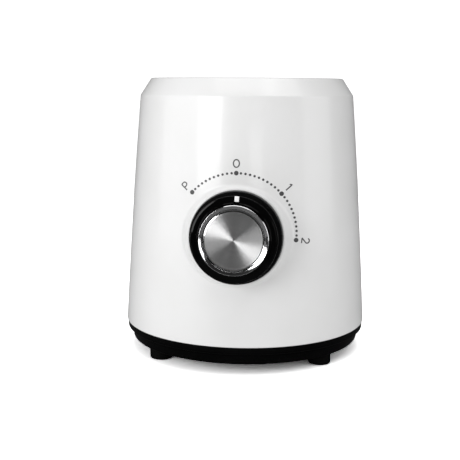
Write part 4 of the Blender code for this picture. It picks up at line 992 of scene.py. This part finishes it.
# %% Pointer
pointer_out = front_radius - 0.15 * MM
pointer_in = pointer_out - 3.3 * MM
pointer_low = knob_front - SLOT_DEPTH + 0.1 * MM
pointer_middle = (0.0, (pointer_in + pointer_out) / 2.0, (pointer_low + knob_front) / 2.0)
pointer_place = at_pointer @ Matrix.Translation(pointer_middle)
pointer_size = (pointer_half - 0.05 * MM, (pointer_out - pointer_in) / 2.0, (knob_front - pointer_low) / 2.0)
pointer = rounded_box("knob_mark", pointer_size, pointer_place, 0.15 * MM)
hand_over(pointer, pointer_white, "gloss_white", "control", "knob_pointer")

# %% [markdown]
# The chrome ring is a plated moulding with a rounded crest that slopes gently inward. Its gap to the metal
# cap is deep and dark. The cap is an aluminium disc, spun on a lathe: a polished chamfer round a face of
# fine concentric grooves. The grooves are real, in a repeating outline, so that light spreads along the
# radius only.

# %% Chrome ring
ring_outline = [
    (ring_out, ring_foot, 0.1 * MM), (ring_in, ring_foot, 0.1 * MM),
    (ring_in, ring_front - 0.50 * MM, 0.15 * MM),
    (ring_out - 0.35 * MM, ring_front, 0.2 * MM), (ring_out, ring_front - 0.4 * MM, 0.2 * MM)]
chrome_ring = turned("chrome_ring", ring_outline, on_panel, 256)
hand_over(chrome_ring, chrome, "chrome", "control", "knob_ring")

# %% Spun cap
GROOVE_PITCH = 0.30 * MM
GROOVE_DEPTH = 0.006 * MM
face_radius = disc_out - 1.2 * MM
cap_points = [(0.0, disc_foot), (disc_out, disc_foot)]
cap_points += rounded([(disc_out, disc_front - 2.0 * MM, 0.0), (disc_out, disc_front - 0.44 * MM, 0.2 * MM),
                       (face_radius, disc_front, 0.25 * MM), (face_radius - 1.0 * MM, disc_front, 0.0)])[:-1]
groove_steps = int((face_radius - 0.4 * MM) / GROOVE_PITCH) * 6
for step in range(groove_steps + 1):
    radius = (face_radius - 0.35 * MM) * (1.0 - step / groove_steps)
    wave = 0.5 - 0.5 * math.cos(2.0 * math.pi * radius / GROOVE_PITCH)
    cap_points.append((radius, disc_front - GROOVE_DEPTH * wave))
spun_cap = turned("spun_cap", [(r, z, 0.0) for r, z in cap_points], on_panel, 192)
spun_cap.data.shade_smooth()
hand_over(spun_cap, spun_aluminium, "aluminium", "control", "knob_disc")
print("the cap has", int(face_radius / GROOVE_PITCH), "grooves")

# %% [markdown]
# Spun metal needs one more setting: the shader has to know which way the grooves run. A Tangent node that
# runs round the piece's own Z tells it.

# %% Which way the grooves run
def spin_the_cap(finish):
    """Grooves run round Z; past the face the chamfer is polished smooth."""
    tree = finish.node_tree
    shader = tree.nodes["Principled BSDF"]
    groove_way = node(tree, 'ShaderNodeTangent', direction_type='RADIAL', axis='Z')
    feed(tree, groove_way.outputs[0], shader.inputs["Tangent"])
    parts = node(tree, 'ShaderNodeSeparateXYZ')
    feed(tree, node(tree, 'ShaderNodeTexCoord').outputs["Object"], parts.inputs[0])
    squares = [reckon(tree, 'POWER', parts.outputs[i], 2.0) for i in (0, 1)]
    radius = reckon(tree, 'SQRT', reckon(tree, 'ADD', *squares))
    on_chamfer = spread(tree, radius, face_radius - 0.15 * MM, face_radius + 0.10 * MM, 0.0, 1.0)
    spun = shader.inputs["Roughness"].links[0].from_socket
    polished = reckon(tree, 'MULTIPLY', reckon(tree, 'SUBTRACT', 0.07, spun), on_chamfer)
    feed(tree, reckon(tree, 'ADD', spun, polished), shader.inputs["Roughness"])


spin_the_cap(spun_aluminium)
print("the chamfer is", round((disc_out - face_radius) / MM, 1), "mm wide")

# %% [markdown]
# ## The printed scale
#
# The scale is pad-printed on the housing in grey ink: a large dot at each of the four settings, ten small
# dots between each pair, and a plain mark beside every large dot. Ink has a thickness, so each dot and
# stroke is a thin solid that is laid on the skin. Asking the skin formula for every point makes the print
# follow the boss and the curved side.

# %% Settings of the scale
SCALE_CENTRE = Vector((-0.6 * MM, 2.0 * MM))
SCALE_RADIUS = 38.0 * MM
MARK_RADIUS = 44.0 * MM
SETTINGS = {"P": -48.0, "0": 0.0, "1": 48.0, "2": 96.0}
BIG_DOT = 1.45 * MM
SMALL_DOT = 0.78 * MM
DOTS_BETWEEN = 10
INK = 0.03 * MM
STROKE = 0.75 * MM


def on_scale(radius, degrees):
    turn = math.radians(degrees)
    return SCALE_CENTRE + Vector((math.sin(turn), math.cos(turn))) * radius


# %% Lay ink on the skin
def ink_patch(outline, faces, points, shapes):
    """Add a flat shape's points, lifted on to the skin, and its faces, to the print."""
    start = len(points)
    points += [skin(u, v, INK) for u, v in outline]
    shapes += [tuple(start + i for i in face) for face in faces]


def dot_outline(centre, radius, sides):
    spots = [centre]
    for i in range(sides):
        turn = 2.0 * math.pi * i / sides
        spots.append(centre + Vector((math.cos(turn), math.sin(turn))) * radius)
    return spots, [(0, 1 + i, 1 + (i + 1) % sides) for i in range(sides)]


def stroke_outline(path, closed=False):
    """A ribbon of even width along a path of flat points."""
    edge = []
    count = len(path)
    for i, point in enumerate(path):
        before = path[i - 1] if i > 0 or closed else point
        after = path[(i + 1) % count] if i < count - 1 or closed else point
        along = (after - before).normalized()
        aside = Vector((-along.y, along.x)) * STROKE / 2.0
        edge += [point + aside, point - aside]
    spans = count if closed else count - 1
    faces = [(2 * i, 2 * i + 1, (2 * i + 3) % (2 * count), (2 * i + 2) % (2 * count)) for i in range(spans)]
    return edge, faces


# %% [markdown]
# The marks are drawn as a sign writer would draw them, as strokes in a box one unit high: an upright oval, a
# stroke with a flag, a hook on a foot, and a stem with a bowl. Each is then turned to stand upright on the
# circle.

# %% Strokes of the four marks
MARK_HEIGHT = 5.2 * MM


def arc_path(x, y, half_width, half_height, start, end, steps=14):
    spots = []
    for i in range(steps + 1):
        turn = math.radians(start + (end - start) * i / steps)
        spots.append(Vector((x + half_width * math.cos(turn), y + half_height * math.sin(turn))))
    return spots


MARKS = {
    "0": [(arc_path(0.0, 0.0, 0.36, 0.46, 0.0, 345.0, 23), True)],
    "1": [([Vector((-0.20, 0.30)), Vector((0.02, 0.48)), Vector((0.04, 0.30)),
          Vector((0.04, -0.50))], False)],
    "2": [(arc_path(0.0, 0.20, 0.29, 0.26, 165.0, -40.0)
           + [Vector((-0.30, -0.46)), Vector((0.32, -0.46))], False)],
    "P": [([Vector((-0.26, -0.50)), Vector((-0.26, 0.46))], False),
          ([Vector((-0.26, 0.46))] + arc_path(0.06, 0.20, 0.24, 0.26, 90.0, -90.0)
           + [Vector((-0.26, -0.06))], False)],
}


def densify(path, closed, longest=0.08):
    """Put extra points into long strokes, so that they can bend over the skin."""
    ends = list(zip(path, path[1:] + path[:1])) if closed else list(zip(path, path[1:]))
    dense = []
    for first, second in ends:
        pieces = max(1, math.ceil((second - first).length / longest))
        dense += [first.lerp(second, i / pieces) for i in range(pieces)]
    return dense if closed else dense + [path[-1]]


# %% Print the scale
def print_scale(name, letters, spans):
    """One layer of ink: marks and big dots for the letters, small dots for the spans."""
    points, shapes = [], []
    for letter in letters:
        degrees = SETTINGS[letter]
        ink_patch(*dot_outline(on_scale(SCALE_RADIUS, degrees), BIG_DOT, 28), points, shapes)
        centre = on_scale(MARK_RADIUS, degrees)
        upright_turn = Matrix.Rotation(math.radians(-degrees), 2)
        for path, closed in MARKS[letter]:
            placed = [centre + upright_turn @ (spot * MARK_HEIGHT) for spot in densify(path, closed)]
            ink_patch(*stroke_outline(placed, closed), points, shapes)
    for start, end in spans:
        for i in range(1, DOTS_BETWEEN + 1):
            degrees = start + (end - start) * i / (DOTS_BETWEEN + 1)
            ink_patch(*dot_outline(on_scale(SCALE_RADIUS, degrees), SMALL_DOT, 16), points, shapes)
    sheet = surface_object(name, points, shapes, Matrix.Identity(4))
    work = bmesh.new()
    work.from_mesh(sheet.data)
    facing = sum((face.normal.dot(KNOB_OUT) for face in work.faces))
    if facing < 0.0:
        bmesh.ops.reverse_faces(work, faces=work.faces)
    bmesh.ops.solidify(work, geom=work.faces[:], thickness=INK * 1.6)
    work.to_mesh(sheet.data)
    work.free()
    smooth(sheet.data)
    return sheet


spans = [(-48.0, 0.0), (0.0, 48.0), (48.0, 96.0)]
scale_print = print_scale("scale_print", ["P", "0", "1", "2"], spans)
hand_over(scale_print, dial_ink, "satin_black", "base")

# %% [markdown]
# ## Pieces inside
#
# The motor, the switches and the wiring keep their solids, which are already the right shape. Each gets the
# finish of its slot, so that what shows through the vents and round the coupling looks like what it is.

# %% Finish the solids that stay
for name, solid in frame["nodes"].items():
    for material_slot in solid.material_slots:
        slot_name = material_slot.material.name.split(".")[0]
        material_slot.material = finish_of_slot[slot_name]
print("finished", len(frame["nodes"]), "solids")

# %% [markdown]
# ## Camera, floor and light
#
# The machine is seen from just below the height of its rim, a little from above, with its front turned
# slightly to the left. At that height the rim is edge-on, which is why it shows as a straight line.

# %% Camera
CAMERA_AWAY = 0.6164
CAMERA_HIGH = 0.1827
PITCH = math.radians(9.31)
PAN = math.radians(-1.04)
ROLL = math.radians(0.33)
FACING = math.radians(4.05)
LENS = 68.02

sight = Vector((math.sin(PAN) * math.cos(PITCH), math.cos(PAN) * math.cos(PITCH), -math.sin(PITCH)))
level = Vector((math.cos(PAN), -math.sin(PAN), 0.0))
over = level.cross(sight)
right = level * math.cos(ROLL) + over * math.sin(ROLL)
over = over * math.cos(ROLL) - level * math.sin(ROLL)
round_body = upright @ Matrix.Rotation(FACING, 4, 'Z')
looking = Matrix((right, over, -sight)).transposed().to_4x4()
camera = bpy.data.objects.new("camera", bpy.data.cameras.new("camera"))
camera.data.lens = LENS
camera.data.sensor_width = 36.0
camera.matrix_world = round_body @ Matrix.Translation((0.0, -CAMERA_AWAY, CAMERA_HIGH)) @ looking
bpy.context.scene.collection.objects.link(camera)
bpy.context.scene.camera = camera
bpy.context.scene.view_settings.view_transform = "Standard"


# %% [markdown]
# The light is what a small product studio has. A tall soft box at the front left draws the upright band
# on the housing and the bright sectors of the spun cap. A broad one beyond it lights the left flank. Weaker
# ones on the right, a small one in front, and a broad one overhead for the shoulder fill the rest. The floor
# and the backdrop are white. They look dark to mirror rays, as black cards beside the camera would make
# them, and that keeps the black pieces black.

# %% Soft boxes
LAMP_DISTANCE = 1.2
AIM_HEIGHT = 0.09


def soft_box(name, width, height, power, azimuth, elevation):
    """A rectangular lamp aimed at the body, azimuth from the front toward the right."""
    lamp = bpy.data.lights.new(name, 'AREA')
    lamp.shape = 'RECTANGLE'
    lamp.size = width
    lamp.size_y = height
    lamp.energy = power
    made = bpy.data.objects.new(name, lamp)
    side, up = math.radians(azimuth), math.radians(elevation)
    away = Vector((math.sin(side) * math.cos(up), -math.cos(side) * math.cos(up), math.sin(up)))
    made.location = Vector((0.0, BODY_Y, AIM_HEIGHT)) + away * LAMP_DISTANCE
    made.rotation_euler = (-away).to_track_quat('-Z', 'Y').to_euler()
    bpy.context.scene.collection.objects.link(made)
    print(name, power, "W")


soft_box("wide_left", 1.00, 0.80, 3.2, -66.0, 14.0)
soft_box("tall_left", 0.50, 0.50, 4.8, -32.0, 14.0)
soft_box("small_front", 0.25, 0.25, 0.5, 14.0, 3.0)
soft_box("wide_right", 0.75, 0.80, 2.4, 80.0, 14.0)
soft_box("high_right", 0.60, 0.50, 1.6, 60.0, 58.0)
soft_box("overhead", 1.00, 1.00, 4.9, 0.0, 85.0)


# %% World and floor
FLOOR_RADIUS = 0.9
AMBIENT = 0.46
MIRROR_DIMMING = 0.44


def world_light():
    """White to the camera, soft grey to matt surfaces, nearly dark to mirror rays."""
    world = bpy.data.worlds.new("studio")
    bpy.context.scene.world = world
    world.use_nodes = True
    tree = world.node_tree
    tree.nodes.clear()
    rays = node(tree, 'ShaderNodeLightPath')
    mirror = reckon(tree, 'MULTIPLY', rays.outputs["Is Glossy Ray"], MIRROR_DIMMING)
    level_of_light = reckon(tree, 'SUBTRACT', AMBIENT, mirror)
    camera_part = reckon(tree, 'MULTIPLY', rays.outputs["Is Camera Ray"], 1.2)
    strength = reckon(tree, 'MAXIMUM', level_of_light, camera_part)
    background = node(tree, 'ShaderNodeBackground')
    background.inputs["Color"].default_value = (1.0, 1.0, 1.0, 1.0)
    feed(tree, strength, background.inputs["Strength"])
    feed(tree, background.outputs[0], node(tree, 'ShaderNodeOutputWorld').inputs[0])


def white_floor():
    mesh = bpy.data.meshes.new("floor")
    turns = [2.0 * math.pi * i / 96 for i in range(96)]
    edge = [(FLOOR_RADIUS * math.cos(turn), FLOOR_RADIUS * math.sin(turn), 0.0) for turn in turns]
    mesh.from_pydata(edge, [], [tuple(range(len(edge)))])
    floor = bpy.data.objects.new("floor", mesh)
    bpy.context.scene.collection.objects.link(floor)
    finish = bpy.data.materials.new("floor_white")
    finish.use_nodes = True
    tree = finish.node_tree
    tree.nodes.clear()
    rays = node(tree, 'ShaderNodeLightPath')
    matt = node(tree, 'ShaderNodeBsdfDiffuse')
    seen = blend_colours(tree, rays.outputs["Is Camera Ray"], (0.90, 0.90, 0.90), (2.4, 2.4, 2.4))
    tone = blend_colours(tree, rays.outputs["Is Glossy Ray"], seen, (0.11, 0.11, 0.11))
    feed(tree, tone, matt.inputs["Color"])
    feed(tree, matt.outputs[0], node(tree, 'ShaderNodeOutputMaterial').inputs[0])
    mesh.materials.append(finish)


world_light()
white_floor()
